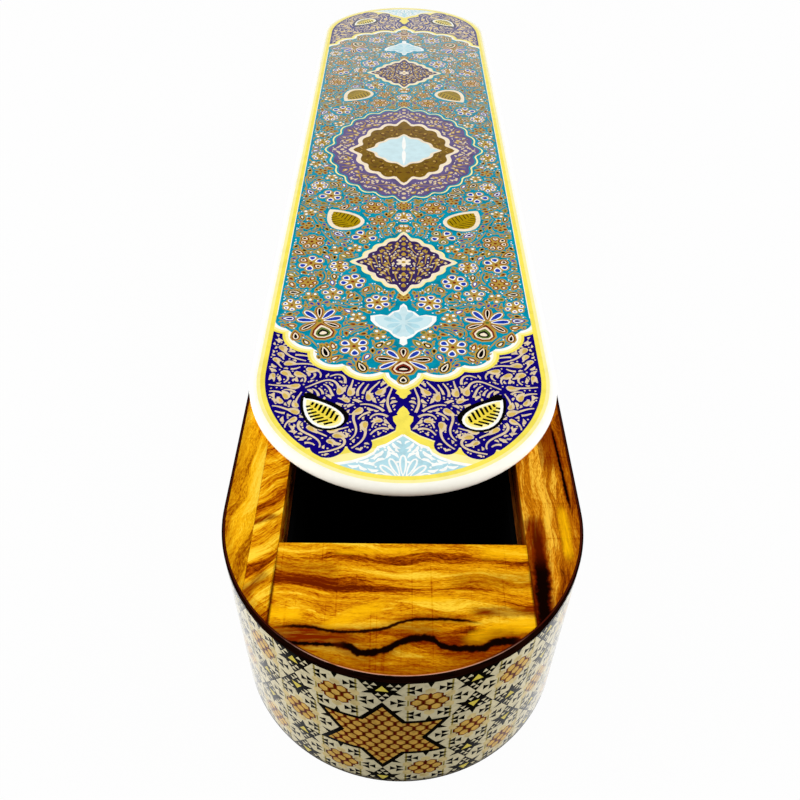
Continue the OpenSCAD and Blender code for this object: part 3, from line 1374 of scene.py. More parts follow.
class Paint(Enum):
    """Colours of the painted lid, with the size and the strength of their mottling."""

    IVORY = LacquerFinish("ivory_lacquer", srgb(250, 248, 236), 9.0, 0.03)
    WHITE = LacquerFinish("white_paint", srgb(250, 250, 245), 1.5, 0.05)
    GOLD = LacquerFinish("yellow_gold_paint", srgb(246, 228, 90), 2.4, 0.08)
    PRIMROSE = LacquerFinish("pale_yellow_paint", srgb(252, 240, 158), 2.4, 0.05)
    TAN = LacquerFinish("tan_gold_paint", srgb(224, 202, 162), 1.4, 0.14)
    SAFFRON = LacquerFinish("saffron_gold_paint", srgb(214, 182, 92), 1.4, 0.14)
    OCHRE = LacquerFinish("ochre_gold_paint", srgb(182, 146, 60), 1.4, 0.18)
    NAVY = LacquerFinish("ultramarine_paint", srgb(16, 5, 113), 3.0, 0.22)
    TEAL = LacquerFinish("turquoise_paint", srgb(6, 142, 168), 3.0, 0.22)
    SKY = LacquerFinish("pale_blue_paint", srgb(178, 218, 228), 2.0, 0.1)
    MIST = LacquerFinish("misty_blue_paint", srgb(204, 230, 235), 2.0, 0.06)
    BLUE = LacquerFinish("petal_blue_paint", srgb(34, 62, 172), 1.2, 0.2)
    RUST = LacquerFinish("rust_paint", srgb(122, 40, 22), 1.2, 0.24)
    GREEN = LacquerFinish("leaf_green_paint", srgb(96, 116, 52), 1.2, 0.24)
    BLACK = LacquerFinish("ink_black_paint", srgb(8, 7, 8), 1.2, 0.4)
    VIOLET = LacquerFinish("violet_paint", srgb(100, 86, 134), 2.6, 0.22)
    PLUM = LacquerFinish("plum_paint", srgb(58, 42, 92), 2.2, 0.24)
    BRONZE = LacquerFinish("bronze_paint", srgb(122, 90, 6), 2.2, 0.24)
    UMBER = LacquerFinish("umber_paint", srgb(98, 62, 4), 1.6, 0.24)
    CREAM = LacquerFinish("cream_paint", srgb(244, 228, 200), 1.5, 0.08)
    LEMON = LacquerFinish("lemon_paint", srgb(240, 216, 70), 1.4, 0.1)
    OLIVE = LacquerFinish("olive_gold_paint", srgb(168, 138, 10), 1.4, 0.16)


# Petals and leaves, from the rim inwards

RUSTY = (Paint.OCHRE, Paint.RUST, Paint.CREAM, Paint.BLACK)
COOL = (Paint.OCHRE, Paint.WHITE, Paint.BLUE)
DEEP = (Paint.OCHRE, Paint.BLUE, Paint.WHITE, Paint.NAVY)
LEAFY = (Paint.OCHRE, Paint.BLACK, Paint.CREAM, Paint.BLACK)
PALE = (Paint.OCHRE, Paint.GREEN, Paint.CREAM, Paint.BLACK)
BELL = (Paint.OCHRE, Paint.RUST, Paint.CREAM, Paint.RUST, Paint.BLACK, Paint.CREAM, Paint.GREEN)
CALYX = (Paint.OCHRE, Paint.RUST, Paint.CREAM, Paint.GREEN, Paint.BLACK, Paint.CREAM)

Zone = Callable[[Point], bool]
Brush = Callable[[Point, float], None]


def ahead(spot: Point, turn: float, reach: float) -> Point:
    """Give the point at some reach from another, in a direction."""
    return spot[0] + reach * math.cos(turn), spot[1] + reach * math.sin(turn)


def level(path: Sequence[Point], across: float) -> float:
    """Read a path's height at a place across it, with its ends drawn on level."""
    for start, end in zip(path, path[1:]):
        if across <= end[0]:
            return start[1] + (end[1] - start[1]) * (across - start[0]) / (end[0] - start[0])
    return path[-1][1]


@dataclass(frozen=True)
class Stem:
    """How the stems of a vine are painted, in millimetres."""

    paint: Paint
    heart: Paint | None = None
    width: float = 0.42
    room: float = 0.42
    shortest: int = 5
    longest: int = 16
    curl: float = 0.06
    bud: Point = (2.3, 1.7)


@dataclass
class Room:
    """Keeps count of the painted ground that is taken."""

    cell: float = 9.0
    taken: dict[tuple[int, int], list[tuple[float, float, float]]] = field(default_factory=dict)

    def key(self, spot: Point) -> tuple[int, int]:
        """Give the cell that a point is in."""
        return math.floor(spot[0] / self.cell), math.floor(spot[1] / self.cell)

    def take(self, spot: Point, radius: float) -> None:
        """Mark a circle as taken."""
        self.taken.setdefault(self.key(spot), []).append((*spot, radius))

    def free(self, spot: Point, radius: float) -> bool:
        """Say whether a circle is clear of all that is taken.

        Args:
            spot: Its middle.
            radius: Its radius, which with any taken one is at most a cell.

        Returns:
            True if it is clear.
        """
        column, row = self.key(spot)
        for across in (-1, 0, 1):
            for up in (-1, 0, 1):
                for x, y, reach in self.taken.get((column + across, row + up), ()):
                    if math.hypot(x - spot[0], y - spot[1]) < reach + radius:
                        return False
        return True


@dataclass
class Illumination:
    """The lid's painting on one quarter: across from the middle line, out from the middle of its length."""

    straight: float
    flat: float
    gold_outer: float = 28.4
    gold_inner: float = 26.8
    arc_steps: int = 28
    seed: int = 11
    tip_of_field: float = 99.4
    cusps: tuple[Point, ...] = ((3.7, 95.2), (11.4, 93.2), (18.0, 88.3), (23.6, 82.4), (27.6, 79.4))
    bulges: tuple[float, ...] = (2.2, 2.6, 2.1, 0.9)
    pale_edge: tuple[Point, ...] = (
        (0.0, 111.7), (1.8, 113.2), (3.0, 114.2), (4.6, 114.9), (5.2, 116.2), (6.6, 117.2), (8.8, 118.2),
        (10.5, 118.6), (14.6, 119.4),
    )
    gold_edge: tuple[Point, ...] = (
        (0.0, 109.6), (1.4, 110.9), (3.0, 112.1), (5.4, 113.3), (9.8, 115.0), (16.6, 115.4), (26.0, 118.0),
    )
    blue_lobes: tuple[tuple[Point, float], ...] = (((7.7, 114.5), 2.25), ((13.4, 114.6), 3.2))
    palmette_ovals: tuple[tuple[Point, Point], ...] = (((0.0, 78.2), (7.9, 3.2)), ((0.0, 79.4), (3.9, 6.2)))
    palmette_outs: Point = (71.8, 87.6)
    palmette_axis: float = 1.4
    flow_turn: float = 2.2
    flow_scale: float = 0.075
    flow_seed: float = 3.7
    flow_scatter: float = 0.45
    stem_step: float = 0.5

    def __post_init__(self) -> None:
        """Start the inlay, the free ground, the seeded choices and the medallions."""
        self.inlay = Inlay()
        self.room = Room()
        self.choice = random.Random(self.seed)
        middle = (0.0, 0.0)
        self.diamond = Lobed((0.0, 56.6), 9.9, 10.6, lobes=16, depth=0.09, point=0.12, fullness=1.3)
        self.outer = Lobed(middle, 20.2, 26.8, lobes=24, depth=0.06, point=0.06)
        self.inner = Lobed(middle, 12.8, 17.0, lobes=16, depth=0.09, point=0.12)
        self.heart = Lobed(middle, 8.6, 8.2, lobes=12, depth=0.08, point=0.14, fullness=1.6)

    def lay(self, paint: Paint, outline: Outline) -> None:
        """Paint a shape."""
        self.inlay.lay(paint, outline)

    def edge(self, radius: float) -> Outline:
        """Give the lid's quarter outline at a radius, from the side to the tip."""
        turns = [math.pi / 2 * k / self.arc_steps for k in range(self.arc_steps + 1)]
        arc = [(radius * math.cos(t), self.straight + radius * math.sin(t)) for t in turns[:-1]]
        return [(radius, 0.0), *arc, (0.0, self.straight + radius)]

    def band(self, paint: Paint, outer: float, inner: float) -> None:
        """Paint a band that follows the lid's edge."""
        self.lay(paint, self.edge(outer) + self.edge(inner)[::-1])

    # Motifs

    def nest(
        self,
        tip: Point,
        end: Point,
        width: float,
        paints: Sequence[Paint],
        rim: float = 0.32,
        line: float = 0.25,
    ) -> None:
        """Paint drops one inside the other.

        Args:
            tip: Tip of the outer one.
            end: Round end of the outer one.
            width: Width of the outer one.
            paints: Colours from the outside in.
            rim: Width of the outer ring.
            line: Width of each further ring.
        """
        turn, length = bearing(tip, end), math.dist(tip, end)
        for k, paint in enumerate(paints):
            inset = (rim + line * (k - 1)) if k else 0.0
            slim = width - 2 * inset
            if slim < line or length < 3 * inset:
                break
            self.lay(paint, drop(ahead(tip, turn, 1.8 * inset), ahead(end, turn, -inset), slim, steps=5))

    def blossom(self, centre: Point, reach: float, petals: int, kinds: Sequence[Sequence[Paint]]) -> None:
        """Paint a flower of drop petals.

        Args:
            centre: Its middle.
            reach: Its radius.
            petals: How many petals.
            kinds: Colours of each kind of petal, in turn.
        """
        start = self.choice.uniform(0, math.tau)
        width = min(reach * 0.68, 2.1 * reach * math.sin(math.pi / petals))
        for k in range(petals):
            turn = start + math.tau * k / petals + self.choice.gauss(0.0, 0.07)
            end = ahead(centre, turn, reach * self.choice.uniform(0.88, 1.0))
            self.nest(ahead(centre, turn, reach * 0.1), end, width, kinds[k % len(kinds)])
        self.lay(Paint.OCHRE, disc(centre, reach * 0.22, 8))
        self.lay(Paint.RUST, disc(centre, reach * 0.12, 6))

    def comma(self, paint: Paint, length: float, width: float) -> Brush:
        """Give a brush for comma leaves of one size."""

        def brush(spot: Point, turn: float) -> None:
            """Paint one comma leaf."""
            bend = self.choice.choice((-0.2, 0.2))
            tip, end = ahead(spot, turn, -length / 2), ahead(spot, turn, length / 2)
            self.lay(paint, drop(tip, end, width, bend, steps=4))

        return brush

    def grow(self, zone: Zone, outs: Point, tries: int, stem: Stem) -> None:
        """Grow curved stems along the flow from free places of a zone, each from its bud.

        Args:
            zone: Says whether a point is in the zone.
            outs: Nearest and furthest place out along the lid.
            tries: Places tried.
            stem: How the stems are painted.
        """
        for _ in range(tries):
            path = [(self.choice.uniform(0.0, self.gold_inner), self.choice.uniform(*outs))]
            if not self.clear(zone, path[0], stem.bud[1] / 2 if stem.heart else stem.room):
                continue
            hand, first = self.choice.choice((-1, 1)), self.flow(path[0])
            turn = first
            while len(path) < stem.longest:
                following = ahead(path[-1], turn, self.stem_step)
                if not zone(following) or not self.room.free(following, stem.room):
                    break
                path.append(following)
                turn = self.flow(following) + hand * stem.curl * len(path)
            if len(path) < stem.shortest:
                continue
            self.lay(stem.paint, ribbon(path, stem.width, 0.5))
            for point in path:
                self.room.take(point, stem.room)
            if stem.heart:
                length, width = stem.bud
                end = ahead(path[0], first, -width * 0.45)
                self.lay(stem.paint, drop(ahead(end, first, length), end, width, 0.1 * hand, 5))
                heart = ahead(end, first, length * 0.7), ahead(end, first, 0.3)
                self.lay(stem.heart, drop(*heart, width - 0.62))
                self.room.take(path[0], width / 2 + 0.1)

    def dot(self, paint: Paint, radius: float) -> Brush:
        """Give a brush for dots."""
        return lambda spot, turn: self.lay(paint, disc(spot, radius, 6))

    def leaf(self, length: float, width: float) -> Brush:
        """Give a brush for ringed drop leaves of one size."""

        def brush(spot: Point, turn: float) -> None:
            """Paint one leaf."""
            kind = self.choice.choice((LEAFY, PALE, RUSTY, DEEP))
            self.nest(ahead(spot, turn, -length / 2), ahead(spot, turn, length / 2), width, kind)

        return brush

    def flower(self, reach: float) -> Brush:
        """Give a brush for flowers of one size."""

        def brush(spot: Point, turn: float) -> None:
            """Paint one flower."""
            kinds = self.choice.choice(((RUSTY, COOL), (COOL,), (COOL, COOL, RUSTY), (RUSTY,), (COOL, PALE)))
            self.blossom(spot, reach, 5 if reach < 2.2 else self.choice.choice((5, 6, 7)), kinds)

        return brush

    def flow(self, spot: Point) -> float:
        """Give the direction in which leaves lie at a place."""
        place = Vector((spot[0] * self.flow_scale, spot[1] * self.flow_scale, self.flow_seed))
        return math.pi * self.flow_turn * noise.noise(place)

    def clear(self, zone: Zone, spot: Point, radius: float) -> bool:
        """Say whether a circle is free ground of a zone."""
        rim = (ahead(spot, math.pi / 2 * k, radius) for k in range(4))
        return zone(spot) and self.room.free(spot, radius) and all(zone(point) for point in rim)

    def strew(self, zone: Zone, outs: Point, *kinds: tuple[int, Point, Brush]) -> None:
        """Scatter motifs over the free ground of a zone, one kind after the other.

        Args:
            zone: Says whether a point is in the zone.
            outs: Nearest and furthest place out along the lid.
            *kinds: Places tried, length and width that the motif needs, and the brush that paints it.
        """
        for tries, (length, width), brush in kinds:
            count = 1 + round((length - width) / width * 1.6)
            shares = [k / (count - 1) - 0.5 if count > 1 else 0.0 for k in range(count)]
            for _ in range(tries):
                spot = (self.choice.uniform(0.0, self.gold_inner), self.choice.uniform(*outs))
                if not zone(spot):
                    continue
                turn = self.flow(spot) + self.choice.gauss(0.0, self.flow_scatter)
                marks = [ahead(spot, turn, (length - width) * share) for share in shares]
                if all(self.clear(zone, mark, width / 2) for mark in marks):
                    brush(spot, turn)
                    for mark in marks:
                        self.room.take(mark, width / 2)

    def hatched_leaf(
        self, tip: Point, end: Point, width: float, layers: Sequence[tuple[Paint, float]], stroke: Point
    ) -> None:
        """Paint a large leaf in layers, with slanted hatching on both sides of its middle.

        Args:
            tip: Its point.
            end: Its round end.
            width: Its width.
            layers: Each layer's colour and how far it is set outwards, from the lowest up.
            stroke: Width of the hatching strokes, and how far inside the leaf's width they end.
        """
        turn, length = bearing(tip, end), math.dist(tip, end)
        bend, rows = -0.06, 7
        for paint, grow in layers:
            ends = ahead(tip, turn, -1.6 * grow), ahead(end, turn, grow)
            self.lay(paint, drop(*ends, width + 2 * grow, bend, 12))

        def breadth(share: float) -> float:
            """Give how far from the middle the strokes reach."""
            return max(0.2, drop_half(width, share) - stroke[1])

        for k in range(rows):
            share = 0.26 + 0.6 * k / (rows - 1)
            bow = bend * 4 * share * (1 - share) * length
            rib = ahead(ahead(tip, turn, length * share), turn + math.pi / 2, bow)
            half = min(breadth(share), breadth(share - 0.5 * breadth(share) / length))
            for side in (turn - math.pi / 2, turn + math.pi / 2):
                reaches = (0.14 * half, half)
                ends = [ahead(ahead(rib, turn, -0.5 * reach), side, reach) for reach in reaches]
                self.lay(Paint.BLACK, ribbon(ends, stroke[0], -0.3))

    # Zones

    def lobe_discs(self) -> list[tuple[Point, float]]:
        """Give the middle and radius of each lobe of the scalloped edge."""
        discs = []
        for start, end, bulge in zip(self.cusps, self.cusps[1:], self.bulges):
            chord = math.dist(start, end)
            radius = (chord * chord / 4 + bulge * bulge) / (2 * bulge)
            middle = ((start[0] + end[0]) / 2, (start[1] + end[1]) / 2)
            turn = math.atan2(end[0] - start[0], start[1] - end[1])
            discs.append((ahead(middle, turn, bulge - radius), radius))
        return discs

    def scallop(self, across: float) -> float:
        """Say how far out the scalloped edge lies at a place across the lid."""
        foot = self.cusps[0]
        reach = self.tip_of_field - (self.tip_of_field - foot[1]) * across / foot[0]
        for (x, y), radius in self.lobe_discs():
            if abs(across - x) < radius:
                reach = max(reach, y + math.sqrt(radius * radius - (across - x) ** 2))
        return reach

    def within(self, spot: Point, margin: float) -> bool:
        """Say whether a point is inside the gold line, and right of the middle line, by a margin."""
        reach = math.hypot(spot[0], max(0.0, spot[1] - self.straight))
        return spot[0] > 0.3 and reach < self.gold_inner - margin

    def in_end(self, spot: Point) -> bool:
        """Say whether a point is on the dark blue end ground."""
        if not self.within(spot, 0.35) or spot[1] < self.scallop(spot[0]) + 1.7:
            return False
        in_lobe = any(math.dist(spot, middle) < radius - 0.4 for middle, radius in self.blue_lobes)
        return in_lobe or spot[1] < level(self.gold_edge, spot[0]) - 0.4

    def in_tip(self, spot: Point) -> bool:
        """Say whether a point is on the pale tip."""
        return self.within(spot, 0.3) and spot[1] > level(self.pale_edge, spot[0]) + 0.4

    def in_field(self, spot: Point) -> bool:
        """Say whether a point is on the turquoise field."""
        x, out = spot
        if not self.within(spot, 0.55) or out > self.scallop(x) - 1.1:
            return False
        if self.outer.holds(spot, -1.5) or self.diamond.holds(spot, -2.2):
            return False
        for middle, half in self.palmette_ovals:
            if math.hypot((x - middle[0]) / half[0], (out - middle[1]) / half[1]) <= 1:
                return False
        near, far = self.palmette_outs
        return x > self.palmette_axis or not near < out < far

    def in_violet(self, spot: Point) -> bool:
        """Say whether a point is on the medallion's violet ring."""
        return spot[0] > 0.3 and self.outer.holds(spot, 0.6) and not self.inner.holds(spot, -1.9)

    def in_bronze(self, spot: Point) -> bool:
        """Say whether a point is on the medallion's bronze ring."""
        return spot[0] > 0.3 and self.inner.holds(spot, 0.5) and not self.heart.holds(spot, -1.4)

    def in_diamond(self, spot: Point) -> bool:
        """Say whether a point is on the small diamond."""
        return spot[0] > 0.3 and self.diamond.holds(spot, 0.4)

    # Parts of the painting, from the tip to the middle

    def end_ground(self) -> None:
        """Paint the dark blue end with its arabesque and hatched leaf."""
        self.lay(Paint.PRIMROSE, [*self.gold_edge, (26.0, 128.0), (0.0, 128.0)])
        self.lay(Paint.GOLD, [*((x, y + 0.35) for x, y in self.gold_edge), (26.0, 121.0), (0.0, 114.0)])
        for middle, radius in self.blue_lobes:
            self.lay(Paint.NAVY, disc(middle, radius, 28))
        leaf_room = (((15.0, 106.5), 3.4), ((12.8, 107.6), 2.7), ((18.0, 103.2), 1.6))
        bud_room = (((0.0, 108.0), 2.4), ((0.0, 105.0), 1.4), ((0.0, 101.2), 1.9))
        for spot, radius in (*leaf_room, *bud_room):
            self.room.take(spot, radius)
        outs = (self.cusps[-1][1], 118.0)
        for tries, stem in (
            (160, Stem(Paint.TAN, Paint.SAFFRON, 0.58, 0.44, 8, 20, curl=0.05, bud=(2.8, 1.5))),
            (1500, Stem(Paint.TAN, None, 0.58, 0.44, 9, 22, curl=0.05)),
            (500, Stem(Paint.TAN, Paint.SAFFRON, 0.5, 0.4, 4, 9, curl=0.1, bud=(2.2, 1.2))),
            (2500, Stem(Paint.TAN, None, 0.54, 0.4, 5, 9, curl=0.1)),
        ):
            self.grow(self.in_end, outs, tries, stem)
        self.strew(
            self.in_end, outs,
            (3000, (1.4, 0.74), self.comma(Paint.TAN, 1.6, 0.72)),
            (4000, (0.9, 0.5), self.comma(Paint.TAN, 1.0, 0.5)),
            (4000, (0.42, 0.42), self.dot(Paint.TAN, 0.2)),
        )
        self.lay(Paint.BLACK, drop((18.2, 101.9), (10.7, 109.5), 6.2, -0.06, 10))
        layers = ((Paint.BLACK, 0.5), (Paint.WHITE, 0.0), (Paint.PRIMROSE, -0.5), (Paint.LEMON, -1.1))
        self.hatched_leaf((18.7, 102.5), (11.4, 109.7), 5.5, layers, (0.42, 0.62))
        self.lay(Paint.BLACK, [
            (18.9, 101.3), (17.6, 101.1), (16.5, 101.8), (15.5, 102.9), (16.9, 103.0), (18.5, 102.7)
        ])

    def tip_palmette(self) -> None:
        """Paint the pale tip with its lotus and leaves, and the gold bud over it."""
        closing = [(18.0, 128.0), (0.0, 128.0)]
        self.lay(Paint.WHITE, [*self.pale_edge, *closing])
        self.lay(Paint.SKY, [*((x * 0.97, y + 0.6) for x, y in self.pale_edge), *closing])
        base = (0.0, 123.2)
        for k in range(5):
            turn, reach = -math.pi / 2 + 0.4 * k, 6.4 - 0.4 * k
            self.lay(Paint.WHITE, drop(ahead(base, turn, 1.2), ahead(base, turn, reach), 1.4, 0.0, 6))
            self.lay(Paint.SKY, drop(ahead(base, turn, 1.8), ahead(base, turn, reach - 0.4), 0.7, 0.0, 6))
            for step in (2.0, 3.4, reach - 0.6):
                self.room.take(ahead(base, turn, step), 0.8)
        self.strew(
            self.in_tip, (111.0, 122.0),
            (2500, (1.8, 0.6), self.comma(Paint.WHITE, 2.1, 0.7)),
            (4000, (1.1, 0.45), self.comma(Paint.WHITE, 1.3, 0.5)),
            (2500, (0.6, 0.6), self.dot(Paint.WHITE, 0.24)),
        )
        self.lay(Paint.GOLD, [
            (0.0, 104.5), (0.7, 105.3), (1.2, 106.5), (1.0, 106.9), (1.9, 107.4), (1.8, 108.5), (1.2, 109.6),
            (1.4, 110.9), (0.0, 112.0),
        ])

    def field_edge(self, paint: Paint, grow: float) -> None:
        """Paint the scalloped field, set outwards by some distance."""
        side, foot = self.gold_inner + min(0.0, grow * 0.2), self.cusps[0]
        inner = [point for point in self.cusps[::-1] if point[0] < side]
        self.lay(paint, [(0.0, 0.0), (side, 0.0), (side, self.cusps[-1][1]), *inner, (0.0, foot[1])])
        for middle, radius in self.lobe_discs():
            self.lay(paint, disc(middle, radius + grow, 44))
        wide = grow * 0.9
        self.lay(paint, [
            (0.0, foot[1] - 1), (foot[0] + wide, foot[1] - 0.6), (foot[0] * 0.86 + wide, foot[1] + 1.3),
            (foot[0] * 0.5 + wide, foot[1] + 3.0 + grow * 0.6), (0.0, self.tip_of_field + grow * 1.4),
        ])

    def main_field(self) -> None:
        """Paint the turquoise field: flowers, ringed leaves, gold vines and white dots."""
        self.field_edge(Paint.GOLD, 1.15)
        self.field_edge(Paint.PRIMROSE, 0.6)
        self.field_edge(Paint.WHITE, 0.0)
        self.field_edge(Paint.TEAL, -0.75)
        self.lay(Paint.GOLD, [
            (0.0, 99.8), (1.1, 100.1), (1.5, 101.0), (0.8, 101.6), (0.6, 102.2), (0.0, 102.6)
        ])
        self.flowers()
        for out, reach, kinds in (
            (31.2, 2.4, (RUSTY,)), (36.6, 2.8, (COOL,)), (42.0, 2.3, (RUSTY, COOL)), (70.2, 1.8, (RUSTY,)),
        ):
            self.blossom((0.0, out), reach, 6, kinds)
            self.room.take((0.0, out), reach)
        self.room.take((14.2, 38.4), 5.0)
        self.room.take((17.8, 34.4), 1.8)
        outs = (0.0, 100.0)
        for tries, size in ((160, 3.5), (400, 2.7), (700, 2.0)):
            self.strew(self.in_field, outs, (tries, (size * 2, size * 2), self.flower(size)))
        self.grow(self.in_field, outs, 400, Stem(Paint.OCHRE, width=0.44, room=0.3, shortest=7, curl=0.04))
        self.strew(
            self.in_field, outs,
            (4000, (3.4, 1.9), self.leaf(3.9, 2.3)),
            (8000, (2.4, 1.35), self.leaf(2.9, 1.7)),
            (12000, (1.6, 0.95), self.leaf(2.0, 1.25)),
            (12000, (1.15, 0.68), self.leaf(1.5, 0.95)),
            (12000, (1.5, 0.5), self.comma(Paint.OCHRE, 1.8, 0.6)),
            (12000, (0.8, 0.4), self.comma(Paint.OCHRE, 0.95, 0.44)),
            (8000, (0.38, 0.38), self.dot(Paint.WHITE, 0.19)),
        )
        layers = ((Paint.CREAM, 0.0), (Paint.OLIVE, -0.95))
        self.hatched_leaf((18.6, 33.2), (11.0, 41.6), 8.2, layers, (0.2, 1.15))

    def flowers(self) -> None:
        """Paint the large flowers near the scalloped edge."""
        self.nest((0.0, 90.4), (0.0, 96.2), 5.4, BELL, 0.42, 0.36)
        self.nest((0.0, 95.2), (0.0, 98.7), 2.6, LEAFY, 0.36)
        for end, width, kind in (
            ((0.0, 87.2), 2.3, RUSTY), ((3.5, 88.2), 2.1, COOL),
            ((6.0, 91.0), 2.4, RUSTY), ((5.0, 94.2), 2.0, COOL),
        ):
            self.nest((end[0] * 0.12, 91.4), end, width, kind)
        self.lay(Paint.OCHRE, disc((0.0, 91.3), 0.7, 8))
        for tip, end, width in (
            ((16.6, 86.2), (15.0, 91.2), 2.7),
            ((9.4, 91.2), (7.3, 95.3), 2.5),
            ((3.6, 85.6), (5.8, 87.6), 1.9),
        ):
            self.nest(tip, end, width, LEAFY, 0.36, 0.3)
            self.room.take(((tip[0] + 2 * end[0]) / 3, (tip[1] + 2 * end[1]) / 3), width / 2)
            self.room.take(((tip[0] + end[0]) / 2, (tip[1] + end[1]) / 2), width / 2.4)
        centre = (17.6, 79.0)
        self.nest((17.5, 79.0), (16.0, 85.4), 5.4, CALYX, 0.42, 0.38)
        for k, degrees in enumerate((-205, -165, -125, -85, -45, -5, 40)):
            end = ahead(centre, math.radians(degrees), 5.2)
            self.nest(centre, end, 2.2, RUSTY if k % 3 == 0 else COOL)
        self.lay(Paint.OCHRE, disc(centre, 0.9, 8))
        self.lay(Paint.GREEN, disc(centre, 0.45, 6))
        for spot, reach in (((10.0, 87.2), 3.4), ((5.7, 72.2), 3.2), ((24.0, 73.6), 2.6)):
            self.blossom(spot, reach, 6, (COOL,))
            self.room.take(spot, reach)
        for spot, radius in (
            ((0.0, 92.0), 4.4), ((4.6, 92.0), 2.0), ((0.0, 97.0), 1.8), (centre, 5.0), ((16.4, 83.8), 2.4),
        ):
            self.room.take(spot, radius)

    def cross_palmette(self) -> None:
        """Paint the pale cross-shaped palmette on the middle line."""
        edge = [
            (0.0, 72.6), (0.7, 73.4), (0.9, 74.8), (2.3, 75.5), (3.4, 76.9), (4.8, 76.5), (7.0, 77.0),
            (6.9, 78.6), (5.8, 80.4), (4.2, 81.6), (3.0, 82.4), (1.9, 84.0), (0.7, 84.8), (0.8, 86.2),
            (0.0, 86.9),
        ]
        centre = (0.0, 79.2)
        self.lay(Paint.WHITE, edge)
        trim = 0.87
        inner = [(x * trim, centre[1] + (y - centre[1]) * trim) for x, y in edge[:-2]]
        self.lay(Paint.MIST, [*inner, (0.0, 83.8)])
        for degrees, reach in ((-62, 4.0), (-18, 4.4), (25, 3.8), (62, 4.4)):
            end = ahead(centre, math.radians(degrees), reach)
            self.lay(Paint.SKY, drop(ahead(centre, math.radians(degrees), 0.8), end, 1.3, 0.0, 5))

    def small_diamond(self) -> None:
        """Paint the dark lobed diamond with its gold leaves and white flower."""
        self.lay(Paint.PRIMROSE, self.diamond.outline(1.35))
        self.lay(Paint.CREAM, self.diamond.outline(0.95))
        self.lay(Paint.PLUM, self.diamond.outline())
        middle = self.diamond.centre
        self.room.take(middle, 2.0)
        outs = (44.0, 69.0)
        for out in (46.6, 48.8, 51.0, 53.2, 59.2, 61.4, 63.6, 65.8):
            self.lay(Paint.OCHRE, drop((0.0, out - 0.8), (0.0, out + 0.8), 1.1, 0.0, 5))
            self.room.take((0.0, out), 0.75)
        self.grow(self.in_diamond, outs, 500, Stem(Paint.OCHRE, Paint.TAN, 0.4, 0.28, 4, 8, bud=(1.5, 1.0)))
        self.strew(
            self.in_diamond, outs,
            (2500, (1.2, 0.7), self.comma(Paint.OCHRE, 1.3, 0.75)),
            (3000, (0.8, 0.44), self.comma(Paint.TAN, 0.9, 0.48)),
            (900, (0.5, 0.5), self.dot(Paint.WHITE, 0.2)),
        )
        for degrees in range(-90, 91, 60):
            self.lay(Paint.CREAM, drop(middle, ahead(middle, math.radians(degrees), 1.9), 1.0, 0.0, 4))
        self.lay(Paint.OCHRE, disc(middle, 0.5, 7))

    def medallion(self) -> None:
        """Paint the large middle medallion in its three grounds."""
        self.lay(Paint.PRIMROSE, self.outer.outline(1.0))
        self.lay(Paint.TEAL, self.outer.outline(0.55))
        self.lay(Paint.VIOLET, self.outer.outline())
        self.lay(Paint.CREAM, self.inner.outline(1.35))
        self.lay(Paint.BRONZE, self.inner.outline())
        outs = (0.0, 29.0)
        for spot in ((0.0, 22.4), (0.0, 24.8), (0.0, 27.0), (17.4, 0.0), (19.6, 0.0)):
            self.lay(Paint.TAN, disc(spot, 0.6, 8))
            self.room.take(spot, 0.7)
        self.grow(self.in_violet, outs, 400, Stem(Paint.OCHRE, Paint.TAN, 0.36, 0.36, 4, 10, bud=(1.7, 1.2)))
        self.grow(self.in_bronze, outs, 200, Stem(Paint.UMBER, Paint.OCHRE, 0.4, 0.4, 4, 8, bud=(2.0, 1.4)))
        self.strew(
            self.in_violet, outs,
            (3000, (1.2, 0.7), self.comma(Paint.TAN, 1.3, 0.7)),
            (900, (0.6, 0.6), self.dot(Paint.CREAM, 0.2)),
        )
        self.strew(
            self.in_bronze, outs,
            (500, (1.5, 0.9), self.comma(Paint.UMBER, 1.5, 0.9)),
            (400, (0.7, 0.6), self.dot(Paint.OCHRE, 0.24)),
        )
        self.lay(Paint.CREAM, self.heart.outline(0.9))
        self.lay(Paint.MIST, self.heart.outline())
        self.lay(Paint.WHITE, drop((0.0, 8.8), (0.0, 0.0), 1.1, 0.0, 6))

    def paint(self) -> Skin:
        """Paint the quarter and cut it into one skin."""
        self.lay(Paint.IVORY, [(0.0, 0.0), *self.edge(self.flat)])
        self.lay(Paint.NAVY, [(0.0, 0.0), *self.edge(self.gold_outer)])
        self.end_ground()
        self.tip_palmette()
        self.main_field()
        self.cross_palmette()
        self.small_diamond()
        self.medallion()
        self.band(Paint.PRIMROSE, self.gold_outer, self.gold_inner)
        self.band(Paint.GOLD, self.gold_outer - 0.7, self.gold_inner)
        self.band(Paint.IVORY, self.flat + 1.0, self.gold_outer)
        return self.inlay.cut()


